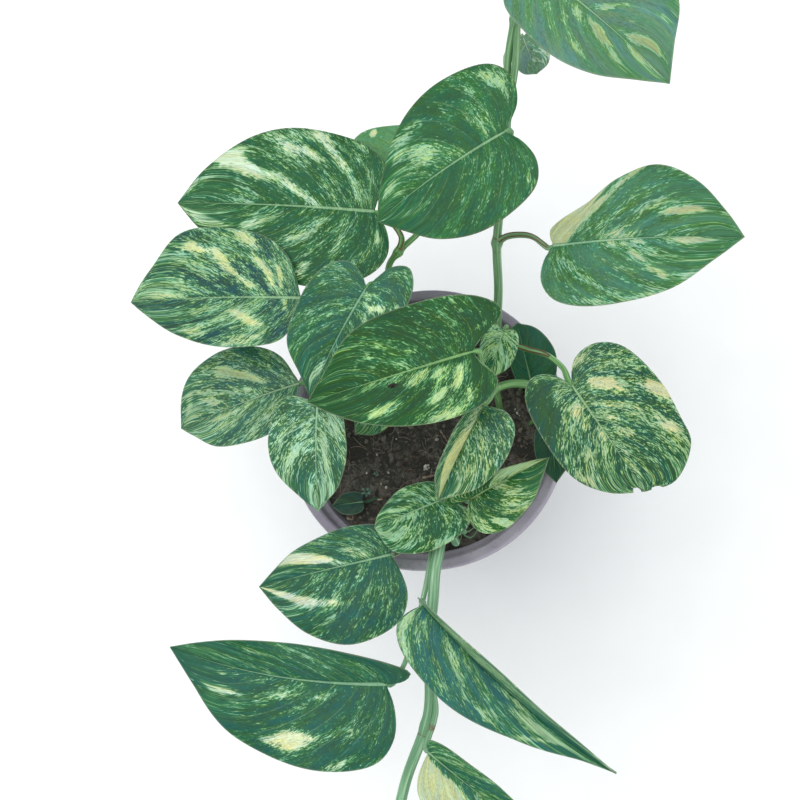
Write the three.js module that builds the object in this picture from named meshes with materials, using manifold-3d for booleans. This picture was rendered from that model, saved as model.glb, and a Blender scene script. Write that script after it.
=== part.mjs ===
// A marble queen pothos in a round nursery pot. Millimetres, Z up, the pot's underside on z = 0.
// The image of the plant seen from above has +Y at the top and +X at the right.
import * as THREE from 'three';
import { mergeVertices } from 'three/addons/utils/BufferGeometryUtils.js';
import Module from 'manifold-3d';

const wasm = await Module();
wasm.setup();

// Driving sizes of the pot.
const POT_HEIGHT = 130;
const RIM_RADIUS = 75;
const LIP_WIDTH = 5.4;
const SKIRT_DROP = 17;
const SHEET = 1.6;
const LEDGE_DEPTH = 7;
const LEDGE_WIDTH = 3;
const BASE_RADIUS = 50;
const FLOOR_TOP = 5;
const FOOT_RECESS = 3;
const PAD_RADIUS = 18;
const POT_SEGMENTS = 48;
const DRAIN_COUNT = 8;
const DRAIN_RADIUS = 4;
const DRAIN_RING = 33;

// Driving sizes of the soil and the plant.
const GAP = 0.35;
const SOIL_SIDE_GAP = 0.5;
const SOIL_TOP = 117.5;
const SOIL_ROUGHNESS = 1.6;
const SOIL_SEGMENTS = 40;
const SOIL_RINGS = 7;
const STEM_FOOT = 102;
const HOLE_CLEARANCE = 1.1;
const BLADE_THICKNESS = 0.8;
const STEM_SIDES = 8;
const STALK_SIDES = 6;
const THICK_STEM = 1.9;
const STALK_STOP = 1;
const LOBED_STOP = 1.9;
const STEM_STEP = 9;
const DEGREE = Math.PI / 180;

const COLOURS = {
  pot: 0x8c8a9b,
  soil: 0x3c3430,
  stem: 0x78aa6e,
  leaf: 0x2f6b45,
  paleLeaf: 0x5f9660,
};

// A closed geometry as a manifold body.
function toBody(geometry) {
  const bare = geometry.clone();
  bare.deleteAttribute('normal');
  bare.deleteAttribute('uv');
  const welded = mergeVertices(bare, 1e-4);
  const mesh = new wasm.Mesh({
    numProp: 3,
    vertProperties: new Float32Array(welded.attributes.position.array),
    triVerts: new Uint32Array(welded.index.array),
  });
  return new wasm.Manifold(mesh);
}

// A manifold body as a geometry.
function toGeometry(body) {
  const mesh = body.getMesh();
  const geometry = new THREE.BufferGeometry();
  const position = new THREE.BufferAttribute(new Float32Array(mesh.vertProperties), 3);
  geometry.setAttribute('position', position);
  geometry.setIndex(new THREE.BufferAttribute(new Uint32Array(mesh.triVerts), 1));
  geometry.computeVertexNormals();
  return geometry;
}

function unite(geometries) {
  return toGeometry(geometries.map(toBody).reduce((all, next) => all.add(next)));
}

function subtract(geometry, cutters) {
  return toGeometry(cutters.map(toBody).reduce((left, next) => left.subtract(next), toBody(geometry)));
}

function makeMesh(name, geometry, colour, roughness) {
  const material = new THREE.MeshStandardMaterial({ color: colour, roughness, metalness: 0 });
  const mesh = new THREE.Mesh(geometry, material);
  mesh.name = name;
  return mesh;
}

// An upright cylinder between two heights.
function post(x, y, bottom, top, radius, sides) {
  const geometry = new THREE.CylinderGeometry(radius, radius, top - bottom, sides);
  geometry.rotateX(Math.PI / 2);
  geometry.translate(x, y, (top + bottom) / 2);
  return geometry;
}

// A body turned round Z from a profile of radius and height.
function turned(profile, segments) {
  const points = profile.map(([radius, height]) => new THREE.Vector2(radius, height));
  const geometry = new THREE.LatheGeometry(points, segments);
  geometry.rotateX(Math.PI / 2);
  return geometry;
}

// A repeatable number between -1 and 1 for a place in the soil.
function roughness(x, y) {
  const wave = Math.sin(x * 0.41 + y * 0.23) + Math.sin(x * 0.17 - y * 0.37 + 1.3);
  return 0.5 * wave * Math.cos(x * 0.29 + y * 0.11 + 0.6);
}

const INNER_LIP = RIM_RADIUS - LIP_WIDTH;
const LEDGE_TOP = POT_HEIGHT - LEDGE_DEPTH;
const LEDGE_OUTER = INNER_LIP - 0.8;
const WALL_INNER = LEDGE_OUTER - LEDGE_WIDTH;
const WALL_OUTER = WALL_INNER + SHEET;
const BASE_INNER = BASE_RADIUS - SHEET;

// The pot's sheet: middle pad, foot, tapered wall, inner step, rolled lip and hanging skirt.
function potGeometry() {
  const profile = [
    [0, 0],
    [PAD_RADIUS, 0],
    [PAD_RADIUS + 2, FOOT_RECESS],
    [BASE_RADIUS - 6, FOOT_RECESS],
    [BASE_RADIUS - 4, 0],
    [BASE_RADIUS - 1, 0],
    [BASE_RADIUS, 1],
    [WALL_OUTER, LEDGE_TOP - SHEET],
    [LEDGE_OUTER + SHEET, LEDGE_TOP - SHEET],
    [INNER_LIP + SHEET, POT_HEIGHT - 2],
    [RIM_RADIUS - SHEET, POT_HEIGHT - 2],
    [RIM_RADIUS - SHEET - 1, POT_HEIGHT - SKIRT_DROP],
    [RIM_RADIUS - 1, POT_HEIGHT - SKIRT_DROP],
    [RIM_RADIUS, POT_HEIGHT - 1.6],
    [RIM_RADIUS - 0.7, POT_HEIGHT - 0.4],
    [RIM_RADIUS - 2, POT_HEIGHT],
    [INNER_LIP + 1, POT_HEIGHT],
    [INNER_LIP, POT_HEIGHT - 0.8],
    [LEDGE_OUTER, LEDGE_TOP],
    [WALL_INNER + 0.5, LEDGE_TOP],
    [WALL_INNER, LEDGE_TOP - 0.6],
    [BASE_INNER, FLOOR_TOP],
    [PAD_RADIUS + 1, FLOOR_TOP],
    [PAD_RADIUS - 1, FLOOR_TOP - FOOT_RECESS],
    [0, FLOOR_TOP - FOOT_RECESS],
  ];
  const drains = Array.from({ length: DRAIN_COUNT }, (_, index) => {
    const angle = (index + 0.5) * 2 * Math.PI / DRAIN_COUNT;
    const x = DRAIN_RING * Math.cos(angle);
    const y = DRAIN_RING * Math.sin(angle);
    return post(x, y, -1, FLOOR_TOP + 1, DRAIN_RADIUS, 12);
  });
  return subtract(turned(profile, POT_SEGMENTS), drains);
}

// The inside radius of the pot's wall at a height.
function wallRadius(height) {
  const share = (height - FLOOR_TOP) / (LEDGE_TOP - 0.6 - FLOOR_TOP);
  return BASE_INNER + share * (WALL_INNER - BASE_INNER);
}

// The potting soil with an uneven top and a plain hole for each stem.
function soilGeometry(holes) {
  const bottom = FLOOR_TOP + GAP;
  const profile = [
    [0, bottom - FOOT_RECESS],
    [PAD_RADIUS - 1.5, bottom - FOOT_RECESS],
    [PAD_RADIUS + 0.5, bottom],
    [wallRadius(bottom) - SOIL_SIDE_GAP, bottom],
  ];
  const topRadius = wallRadius(SOIL_TOP) - SOIL_SIDE_GAP;
  for (let ring = 0; ring <= SOIL_RINGS; ring += 1) {
    profile.push([topRadius * (1 - ring / SOIL_RINGS), SOIL_TOP]);
  }
  const geometry = turned(profile, SOIL_SEGMENTS);
  const position = geometry.attributes.position;
  for (let index = 0; index < position.count; index += 1) {
    const x = position.getX(index);
    const y = position.getY(index);
    if (position.getZ(index) > SOIL_TOP - 1 && Math.hypot(x, y) < topRadius - 1) {
      position.setZ(index, SOIL_TOP + SOIL_ROUGHNESS * roughness(x, y));
    }
  }
  const cutters = holes.map(({ x, y, radius }) =>
    post(x, y, STEM_FOOT - GAP, SOIL_TOP + 5, radius + HOLE_CLEARANCE, 12));
  return subtract(geometry, cutters);
}

// A tapering round stalk through a list of points, from the first radius to the last.
function stalk(points, firstRadius, lastRadius, sides) {
  const knots = points.map((point) => new THREE.Vector3(...point));
  const path = new THREE.CatmullRomCurve3(knots, false, 'centripetal');
  const steps = Math.max(3, Math.round(path.getLength() / STEM_STEP));
  const frames = path.computeFrenetFrames(steps);
  const positions = [];
  const triangles = [];
  for (let step = 0; step <= steps; step += 1) {
    const centre = path.getPointAt(step / steps);
    const radius = firstRadius + (lastRadius - firstRadius) * step / steps;
    for (let side = 0; side < sides; side += 1) {
      const angle = side * 2 * Math.PI / sides;
      const spoke = frames.normals[step].clone().multiplyScalar(Math.cos(angle) * radius);
      spoke.addScaledVector(frames.binormals[step], Math.sin(angle) * radius);
      positions.push(centre.x + spoke.x, centre.y + spoke.y, centre.z + spoke.z);
    }
  }
  for (let step = 0; step < steps; step += 1) {
    for (let side = 0; side < sides; side += 1) {
      const next = (side + 1) % sides;
      const a = step * sides + side;
      const b = step * sides + next;
      triangles.push(a, b, b + sides, a, b + sides, a + sides);
    }
  }
  const last = steps * sides;
  for (let side = 1; side < sides - 1; side += 1) {
    triangles.push(0, side + 1, side, last, last + side, last + side + 1);
  }
  const geometry = new THREE.BufferGeometry();
  geometry.setAttribute('position', new THREE.Float32BufferAttribute(positions, 3));
  geometry.setIndex(triangles);
  return geometry;
}

// The swollen joint of a stem.
function joint(point, radius) {
  const geometry = new THREE.IcosahedronGeometry(radius, 1);
  geometry.translate(...point);
  return geometry;
}

// Half a blade's margin from the notch round the lobe to the tip, in parts of its length.
function halfMargin({ width, lobe, belly, round = 0.22, full = 0.78, point = 0.34 }) {
  const rest = 1 - belly;
  const places = [
    [0, 0],
    [-(lobe > 0 ? 0.75 : 0.3) * lobe, 0.22 * width],
    [-lobe, 0.55 * width],
    [-lobe + round * (belly + lobe), 0.84 * width],
    [belly, width],
    [belly + 0.5 * rest, full * width],
    [belly + 0.8 * rest, point * width],
    [1, 0],
  ];
  const points = places.map(([u, v]) => new THREE.Vector3(u, v, 0));
  return new THREE.CatmullRomCurve3(points, false, 'centripetal');
}

// Where a blade sits: its base, its length and its three directions.
function bladeAxes(leaf) {
  const base = new THREE.Vector3(...leaf.base);
  const along = new THREE.Vector3(...leaf.tip).sub(base);
  const length = along.length();
  along.normalize();
  const across = new THREE.Vector3(0, 0, 1).cross(along).normalize();
  across.applyAxisAngle(along, (leaf.roll ?? 0) * DEGREE);
  const facing = along.clone().cross(across);
  return { base, length, along, across, facing };
}

// The middle surface of a blade as a function of station, share of the half's width and side.
function bladeSurface(leaf) {
  const { base, length, along, across, facing } = bladeAxes(leaf);
  const halves = [halfMargin(leaf.left), halfMargin(leaf.right)];
  const bow = leaf.bow ?? 0;
  const arch = leaf.arch ?? 0.05;
  return (station, share, side) => {
    const half = side > 0 ? leaf.left : leaf.right;
    const edge = halves[side > 0 ? 0 : 1].getPointAt(station);
    const foot = station ** 2.2;
    const u = foot + (edge.x - foot) * share;
    const spine = 4 * bow * foot * (1 - foot) * (1 - share);
    const v = edge.y * share;
    const fold = (half.fold ?? 8) * DEGREE;
    const wave = (leaf.wave ?? 0.018) * share * share * Math.sin(Math.PI * station);
    const turn = 2.5 * station + (leaf.phase ?? 0) + (side > 0 ? 0 : 0.4);
    const ripple = wave * Math.sin(2 * Math.PI * turn);
    const spineRise = u > 0 ? 4 * arch * u * (1 - u) : 4 * arch * u;
    const curl = (half.curl ?? -0.35) * v * v;
    const sideways = side * (v * Math.cos(fold)) + spine;
    const rise = spineRise + v * Math.sin(fold) + curl + ripple;
    return base.clone()
      .addScaledVector(along, u * length)
      .addScaledVector(across, sideways * length)
      .addScaledVector(facing, rise * length);
  };
}

// The last two points of a stalk that comes to a blade's base from below and behind.
function joinPoints(leaf, stop) {
  const { base, along, facing } = bladeAxes(leaf);
  const back = facing.clone().multiplyScalar(-0.8).addScaledVector(along, -0.6);
  return [stop + 3.5, stop].map((distance) => base.clone().addScaledVector(back, distance).toArray());
}

// A thin closed blade whose two faces are split into the same triangles.
function bladeGeometry(leaf) {
  const stations = leaf.small ? 8 : 12;
  const shares = leaf.small ? 2 : 3;
  const surface = bladeSurface(leaf);
  const points = [surface(0, 0, 1), surface(1, 0, 1)];
  const faces = [];
  const spine = Array.from({ length: stations + 1 }, (_, i) => {
    if (i === 0) return 0;
    if (i === stations) return 1;
    return points.push(surface(i / stations, 0, 1)) - 1;
  });
  const rims = [1, -1].map((side) => {
    const grid = spine.map((middle, i) => Array.from({ length: shares + 1 }, (_, j) => {
      if (j === 0 || i === 0 || i === stations) return middle;
      return points.push(surface(i / stations, j / shares, side)) - 1;
    }));
    for (let i = 0; i < stations; i += 1) {
      for (let j = 0; j < shares; j += 1) {
        const [a, b, c, d] = [grid[i][j], grid[i + 1][j], grid[i + 1][j + 1], grid[i][j + 1]];
        if (b !== c) faces.push(side > 0 ? [a, b, c] : [a, c, b]);
        if (a !== d) faces.push(side > 0 ? [a, c, d] : [a, d, c]);
      }
    }
    return grid.map((row) => row[shares]);
  });
  const loop = [...rims[1].slice(0, -1), ...rims[0].slice(1).reverse()];
  return thickened(points, faces, loop, BLADE_THICKNESS / 2);
}

// Both faces of a sheet at half its thickness from the middle, and the wall round its loop.
function thickened(points, faces, loop, half) {
  const normals = points.map(() => new THREE.Vector3());
  for (const [a, b, c] of faces) {
    const normal = points[b].clone().sub(points[a]).cross(points[c].clone().sub(points[a]));
    [a, b, c].forEach((corner) => normals[corner].add(normal));
  }
  normals.forEach((normal) => normal.normalize());
  const positions = [half, -half].flatMap((offset) =>
    points.flatMap((point, i) => point.clone().addScaledVector(normals[i], offset).toArray()));
  const count = points.length;
  const triangles = faces.flatMap(([a, b, c]) => [a, b, c, a + count, c + count, b + count]);
  loop.forEach((a, index) => {
    const b = loop[(index + 1) % loop.length];
    triangles.push(a, a + count, b + count, a, b + count, b);
  });
  const geometry = new THREE.BufferGeometry();
  geometry.setAttribute('position', new THREE.Float32BufferAttribute(positions, 3));
  geometry.setIndex(triangles);
  geometry.computeVertexNormals();
  return geometry;
}

// The blades. base is where the stalk meets the blade, width, lobe and belly are in parts of the
// length from base to tip, fold raises a half by degrees, and left is the side of +Y for a tip at +X.
const LEAVES = [
  {
    name: 'leaf_top_right', base: [79, 170, 262], tip: [132, 122, 246], arch: 0.06,
    left: { width: 0.46, lobe: 0.14, belly: 0.42, full: 0.85 },
    right: { width: 0.32, lobe: 0.12, belly: 0.28, full: 0.76 },
  },
  {
    name: 'leaf_top_small', base: [67, 166, 214], tip: [77, 148, 209], small: true,
    left: { width: 0.5, lobe: 0.1, belly: 0.4 },
    right: { width: 0.42, lobe: 0.1, belly: 0.5, point: 0.5 },
  },
  {
    name: 'leaf_top_heart', base: [60, 112, 232], tip: [-9, 85, 212], arch: 0.06, phase: 0.2,
    left: { width: 0.46, lobe: 0.12, belly: 0.25, full: 0.78 },
    right: { width: 0.53, lobe: 0.2, belly: 0.2, full: 0.68 },
  },
  {
    name: 'leaf_pale_back', base: [17, 120, 180], tip: [-35, 121, 178], small: true,
    left: { width: 0.3, lobe: 0.1, belly: 0.3 },
    right: { width: 0.52, lobe: 0.1, belly: 0.5, full: 0.85 },
  },
  {
    name: 'leaf_upper_left', base: [-10, 96, 194], tip: [-116, 112, 190], arch: 0.03, phase: 0.6,
    left: { width: 0.38, lobe: 0.1, belly: 0.25, full: 0.7 },
    right: { width: 0.37, lobe: 0.03, belly: 0.36, round: 0.3, full: 0.9, point: 0.46 },
  },
  {
    name: 'leaf_far_left', base: [-46, 54, 196], tip: [-138, 59, 193], phase: 0.3,
    left: { width: 0.27, lobe: -0.04, belly: 0.36, full: 0.74, fold: -2 },
    right: { width: 0.37, lobe: -0.07, belly: 0.42, round: 0.35, full: 0.86 },
  },
  {
    name: 'leaf_left_low', base: [-54, 17, 172], tip: [-121, -2, 164], phase: 0.8,
    left: { width: 0.3, lobe: -0.08, belly: 0.46, full: 0.8 },
    right: { width: 0.44, lobe: -0.08, belly: 0.56, round: 0.32, full: 0.86, point: 0.52 },
  },
  {
    name: 'leaf_left_rim', base: [-40, 3, 185], tip: [-48, -46, 156], phase: 0.5,
    left: { width: 0.28, lobe: 0.04, belly: 0.35, full: 0.8 },
    right: { width: 0.44, lobe: 0.05, belly: 0.34, full: 0.84 },
  },
  {
    name: 'leaf_back_heart', base: [-10, 53, 206], tip: [-45, 7, 181], arch: 0.06,
    left: { width: 0.38, lobe: 0.24, belly: 0.18, full: 0.8 },
    right: { width: 0.46, lobe: 0.12, belly: 0.36, full: 0.82, fold: 12, curl: -0.2 },
  },
  {
    name: 'leaf_centre', base: [41, 18, 212], tip: [-40, 1, 200], arch: 0.07, bow: 0.02, phase: 0.1,
    left: { width: 0.34, lobe: 0.13, belly: 0.26, full: 0.7 },
    right: { width: 0.35, lobe: 0.22, belly: 0.28, full: 0.8 },
  },
  {
    name: 'leaf_centre_small', base: [50, 36, 176], tip: [42, 15, 168], small: true,
    left: { width: 0.4, lobe: 0.1, belly: 0.35 },
    right: { width: 0.38, lobe: 0.1, belly: 0.35 },
  },
  {
    name: 'leaf_right_dark', base: [59, 21, 134], tip: [62, 50, 140], small: true,
    left: { width: 0.36, lobe: 0.08, belly: 0.5 },
    right: { width: 0.52, lobe: 0.14, belly: 0.35 },
  },
  {
    name: 'leaf_right_broad', base: [83, 5, 190], tip: [113, -42, 170], arch: 0.05, phase: 0.4,
    left: { width: 0.6, lobe: 0.15, belly: 0.42, full: 0.94, point: 0.66 },
    right: { width: 0.42, lobe: 0.2, belly: 0.25, full: 0.88, point: 0.5 },
  },
  {
    name: 'leaf_right_upper', base: [78, 67, 205], tip: [161, 65, 202], arch: 0.06, phase: 0.7,
    left: { width: 0.4, lobe: -0.1, belly: 0.54, round: 0.55, full: 0.74, fold: 18 },
    right: { width: 0.37, lobe: 0.07, belly: 0.25, full: 0.76 },
  },
  {
    name: 'leaf_front_left', base: [-12, -68, 152], tip: [-81, -83, 150], phase: 0.9,
    left: { width: 0.55, lobe: 0.07, belly: 0.38, full: 0.74 },
    right: { width: 0.26, lobe: 0.05, belly: 0.26, full: 0.76 },
  },
  {
    name: 'leaf_trail_left', base: [-14, -130, 152], tip: [-128, -113, 152], bow: 0.05, phase: 0.2,
    left: { width: 0.39, lobe: 0.07, belly: 0.22, full: 0.82 },
    right: { width: 0.09, lobe: 0.04, belly: 0.36, full: 0.9, fold: 14 },
  },
  {
    name: 'leaf_trail_right', base: [13, -93, 184], tip: [95, -166, 166], arch: 0.07, bow: -0.03,
    phase: 0.6,
    left: { width: 0.24, lobe: 0.04, belly: 0.28, full: 0.7, point: 0.24, fold: 82 },
    right: { width: 0.25, lobe: 0.05, belly: 0.28, full: 0.62, point: 0.2 },
  },
  {
    name: 'leaf_trail_end', base: [9, -160, 160], tip: [65, -201, 154], phase: 0.4,
    left: { width: 0.15, lobe: 0.04, belly: 0.4, full: 0.8, fold: 30 },
    right: { width: 0.32, lobe: -0.04, belly: 0.4 },
  },
  {
    name: 'leaf_front_round', base: [15, -43, 161], tip: [-18, -55, 159], phase: 0.3,
    left: { width: 0.6, lobe: 0.34, belly: 0.3, full: 0.84 },
    right: { width: 0.38, lobe: 0.1, belly: 0.42, full: 0.84 },
  },
  {
    name: 'leaf_folded', base: [42, -3, 190], tip: [17, -44, 174], arch: 0.05,
    left: { width: 0.42, lobe: 0.06, belly: 0.32, full: 0.76 },
    right: { width: 0.28, lobe: 0.06, belly: 0.45, fold: 74 },
  },
  {
    name: 'leaf_front_right', base: [31, -43, 166], tip: [70, -25, 172], arch: 0.04, phase: 0.5,
    left: { width: 0.23, lobe: 0.3, belly: 0.1, round: 0.5, full: 0.62, fold: 22 },
    right: { width: 0.48, lobe: 0.1, belly: 0.24, full: 0.74 },
  },
  {
    name: 'leaf_right_under', base: [68, -4, 138], tip: [70, -33, 139], small: true,
    left: { width: 0.34, lobe: 0.05, belly: 0.4 },
    right: { width: 0.32, lobe: 0.05, belly: 0.4 },
  },
  {
    name: 'leaf_centre_under', base: [-12, 10, 152], tip: [-31, -6, 149], small: true,
    left: { width: 0.4, lobe: 0.05, belly: 0.4 },
    right: { width: 0.42, lobe: 0.05, belly: 0.4 },
  },
  {
    name: 'leaf_on_soil', base: [-34, -38, 123.5], tip: [-51, -40, 123.5], small: true, arch: 0.02,
    left: { width: 0.36, lobe: 0.02, belly: 0.4, fold: 4 },
    right: { width: 0.36, lobe: 0.02, belly: 0.4, fold: 4 },
  },
];

// The stems and leaf stalks. A branch runs through its path, from its first radius to its last,
// and on to the base of the blade that it names.
const VINES = [
  {
    name: 'vine_top',
    branches: [
      {
        path: [[39, 41, STEM_FOOT], [39, 41, 121], [41, 48, 134], [46, 62, 160], [50, 76, 190],
          [55, 96, 206], [59, 122, 214], [61, 150, 222], [66, 165, 234], [70, 169, 246]],
        radii: [2.5, 1.5], blade: 'leaf_top_right', stop: LOBED_STOP,
      },
      {
        path: [[54, 92, 202], [54, 104, 212]],
        radii: [1.5, 1.2], blade: 'leaf_top_heart', stop: LOBED_STOP,
      },
      {
        path: [[50, 76, 190], [57, 76, 198], [68, 73, 203]],
        radii: [1.5, 1.1], blade: 'leaf_right_upper',
      },
      {
        path: [[60, 148, 221], [59, 160, 213], [62, 167, 210]],
        radii: [1, 0.7], blade: 'leaf_top_small',
      },
      { path: [[66, 165, 234], [66, 178, 240], [68, 196, 244]], radii: [1.7, 1.5] },
    ],
    joints: [{ at: [50, 76, 190], radius: 3.2 }, { at: [66, 165, 234], radius: 2.6 }],
  },
  {
    name: 'vine_back_left',
    branches: [
      {
        path: [[2, 47, STEM_FOOT], [2, 47, 120], [-2, 53, 145], [-8, 64, 168], [-6, 73, 178],
          [0, 78, 183], [10, 88, 181], [20, 104, 175], [24, 118, 174]],
        radii: [2.2, 1.1], blade: 'leaf_pale_back',
      },
      { path: [[0, 78, 183], [3, 83, 188], [-1, 90, 190]], radii: [1.6, 1.1], blade: 'leaf_upper_left' },
    ],
    joints: [{ at: [0, 78, 183], radius: 2.9 }],
  },
  {
    name: 'vine_centre',
    branches: [
      {
        path: [[-1, 25, STEM_FOOT], [-1, 25, 120], [-2, 26, 150], [-8, 31, 168], [-15, 39, 176]],
        radii: [2.4, 1.8],
      },
      {
        path: [[-8, 31, 168], [-2, 44, 182], [-4, 55, 197]],
        radii: [1.5, 1.1], blade: 'leaf_back_heart', stop: LOBED_STOP,
      },
      { path: [[-15, 39, 176], [-26, 47, 184]], radii: [1.5, 1.1], blade: 'leaf_far_left' },
      { path: [[-8, 31, 168], [-30, 22, 164]], radii: [1.5, 1.1], blade: 'leaf_left_low' },
      { path: [[-4, 28, 160], [-24, 16, 174]], radii: [1.4, 1.1], blade: 'leaf_left_rim' },
      { path: [[-2, 26, 150], [-5, 18, 151]], radii: [1, 0.8], blade: 'leaf_centre_under' },
    ],
    joints: [{ at: [-8, 31, 168], radius: 2.9 }],
  },
  {
    name: 'vine_right',
    branches: [
      {
        path: [[57, 12, STEM_FOOT], [57, 12, 120], [61, 15, 136], [57, 16, 148], [50, 15, 155],
          [43, 12, 160]],
        radii: [2.4, 2],
      },
      { path: [[40, 9, STEM_FOOT], [40, 9, 120], [42, 11, 142], [43, 12, 160]], radii: [1.8, 1.8] },
      {
        path: [[43, 12, 160], [44.5, 11.5, 172], [43.5, 12, 186], [43, 15, 199]], radii: [1.5, 1.1],
        blade: 'leaf_centre', stop: LOBED_STOP,
      },
      { path: [[43, 12, 160], [46, 8, 176]], radii: [1.4, 1.1], blade: 'leaf_folded' },
    ],
    joints: [{ at: [43, 12, 160], radius: 3 }],
  },
  {
    name: 'stalk_right_broad',
    branches: [
      {
        path: [[43, 34, STEM_FOOT], [43, 34, 120], [47, 38, 138], [53, 35, 151], [61, 30, 161],
          [72, 22, 178], [79, 14, 185]],
        radii: [1.8, 1.2], blade: 'leaf_right_broad', stop: LOBED_STOP,
      },
      { path: [[47, 38, 138], [50, 41, 160]], radii: [1.1, 0.8], blade: 'leaf_centre_small' },
    ],
    joints: [],
  },
  {
    name: 'vine_front',
    branches: [
      {
        path: [[11, -17, STEM_FOOT], [11, -17, 123], [13, -28, 137], [14, -51, 148], [13, -66, 152],
          [11, -76, 152], [10, -89, 152], [8, -109, 152], [8, -139, 152], [6, -149, 152],
          [-4, -174, 150], [-10, -197, 148]],
        radii: [3, 2.6],
      },
      {
        path: [[14, -46, 146], [9, -61, 147], [8, -71, 149], [5, -87, 150], [-1, -109, 150],
          [-6, -122, 149]],
        radii: [1.5, 1.2], blade: 'leaf_trail_left',
      },
      { path: [[8, -128, 152], [11, -142, 153]], radii: [1.6, 1.2], blade: 'leaf_trail_end' },
      { path: [[9, -104, 152], [9, -95, 166]], radii: [1.5, 1.2], blade: 'leaf_trail_right' },
      { path: [[13, -28, 137], [1, -52, 142]], radii: [1.4, 1.1], blade: 'leaf_front_left' },
      {
        path: [[13, -28, 137], [19, -37, 149]],
        radii: [1.4, 1], blade: 'leaf_front_round', stop: LOBED_STOP,
      },
      {
        path: [[13, -26, 135], [25, -36, 147]],
        radii: [1.4, 1], blade: 'leaf_front_right', stop: LOBED_STOP,
      },
      { path: [[14, -46, 146], [16, -56, 142], [18, -63, 138]], radii: [1.9, 2.1] },
      { path: [[13, -33, 138], [18, -48, 137], [23, -57, 133]], radii: [1.5, 1.5] },
    ],
    joints: [{ at: [6, -149, 152], radius: 3.4 }, { at: [13, -28, 137], radius: 3.4 }],
  },
  {
    name: 'stalk_right_dark',
    branches: [
      {
        path: [[51, 20, STEM_FOOT], [51, 20, 120], [55, 20, 128]],
        radii: [1.1, 0.8], blade: 'leaf_right_dark',
      },
    ],
    joints: [],
  },
  {
    name: 'stalk_right_under',
    branches: [
      {
        path: [[56, 1, STEM_FOOT], [56, 1, 121], [62, 1, 132]],
        radii: [1.1, 0.9], blade: 'leaf_right_under',
      },
    ],
    joints: [],
  },
  {
    name: 'stalk_on_soil',
    branches: [
      { path: [[-28, -36, STEM_FOOT], [-28, -36, 119]], radii: [0.8, 0.7], blade: 'leaf_on_soil' },
    ],
    joints: [],
  },
];

function vineGeometry({ branches, joints }) {
  const stalks = branches.map(({ path, radii: [first, last], blade, stop = STALK_STOP }) => {
    const leaf = LEAVES.find(({ name }) => name === blade);
    const ends = leaf ? joinPoints(leaf, stop) : [];
    const sides = first > THICK_STEM ? STEM_SIDES : STALK_SIDES;
    return stalk([...path, ...ends], first, last, sides);
  });
  const knots = joints.map(({ at, radius }) => joint(at, radius));
  return unite([...stalks, ...knots]);
}

// The places where branches stand in the soil.
function soilHoles() {
  const feet = VINES.flatMap(({ branches }) => branches.filter(({ path }) => path[0][2] === STEM_FOOT));
  return feet.map(({ path, radii }) => ({ x: path[0][0], y: path[0][1], radius: radii[0] }));
}

const plant = new THREE.Group();
plant.name = 'potted_pothos';
plant.add(makeMesh('pot', potGeometry(), COLOURS.pot, 0.6));
plant.add(makeMesh('soil', soilGeometry(soilHoles()), COLOURS.soil, 0.95));
for (const vine of VINES) {
  plant.add(makeMesh(vine.name, vineGeometry(vine), COLOURS.stem, 0.5));
}
for (const leaf of LEAVES) {
  const colour = leaf.name === 'leaf_pale_back' ? COLOURS.paleLeaf : COLOURS.leaf;
  plant.add(makeMesh(leaf.name, bladeGeometry(leaf), colour, 0.45));
}

export default plant;
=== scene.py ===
"""The looks of a marble queen pothos in a nursery pot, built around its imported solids.

Sizes in the tables are in millimetres, as a grower would measure them, and colours are screen
colours from 0 to 255. Both are converted where the meshes and the materials are made.
"""
import logging
from bisect import bisect_left
from collections.abc import Callable, Sequence
from dataclasses import dataclass
from enum import Enum, IntEnum
from functools import partial
from itertools import accumulate
from math import cos, exp, floor, pi, radians, sin
from random import Random

import bmesh
import bpy
from bmesh.types import BMEdge, BMesh, BMFace, BMLayerItem, BMVert
from bpy.types import Material, Node, NodeSocket, NodeTree, Object
from mathutils import Matrix, Vector, noise


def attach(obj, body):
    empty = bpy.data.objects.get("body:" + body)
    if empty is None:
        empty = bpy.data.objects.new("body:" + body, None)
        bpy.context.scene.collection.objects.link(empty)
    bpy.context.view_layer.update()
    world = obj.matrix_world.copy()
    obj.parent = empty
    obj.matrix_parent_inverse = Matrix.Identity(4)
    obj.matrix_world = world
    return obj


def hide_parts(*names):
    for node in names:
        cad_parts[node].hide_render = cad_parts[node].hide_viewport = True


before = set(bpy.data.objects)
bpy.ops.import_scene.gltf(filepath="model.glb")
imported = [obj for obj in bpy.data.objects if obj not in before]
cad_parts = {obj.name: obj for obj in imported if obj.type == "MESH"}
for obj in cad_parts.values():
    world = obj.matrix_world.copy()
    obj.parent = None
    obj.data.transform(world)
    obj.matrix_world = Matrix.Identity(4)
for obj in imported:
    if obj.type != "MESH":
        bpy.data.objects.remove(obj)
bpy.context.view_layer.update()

Point = tuple[float, float, float]
Screen = tuple[int, int, int]
Sockets = dict[str, NodeSocket]
Gauge = Callable[[float, Vector], float]

LOG = logging.getLogger("pothos")
BODY = "root"
MM = 0.001

POT_HEIGHT = 130.0
RIM_RADIUS = 75.0
BASE_RADIUS = 50.0
SHEET = 1.6
INNER_LIP = RIM_RADIUS - 5.4
LEDGE_OUTER = INNER_LIP - 0.8
WALL_INNER = LEDGE_OUTER - 3.0
LEDGE_TOP = POT_HEIGHT - 7.0
LEDGE_CORNER = LEDGE_TOP - 0.6
SKIRT_END = POT_HEIGHT - 17.0
FLOOR_TOP = 5.0
FOOT_RECESS = 3.0
PAD_RADIUS = 18.0
SOIL_TOP = 117.5
SOIL_ROUGHNESS = 1.6
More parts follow.
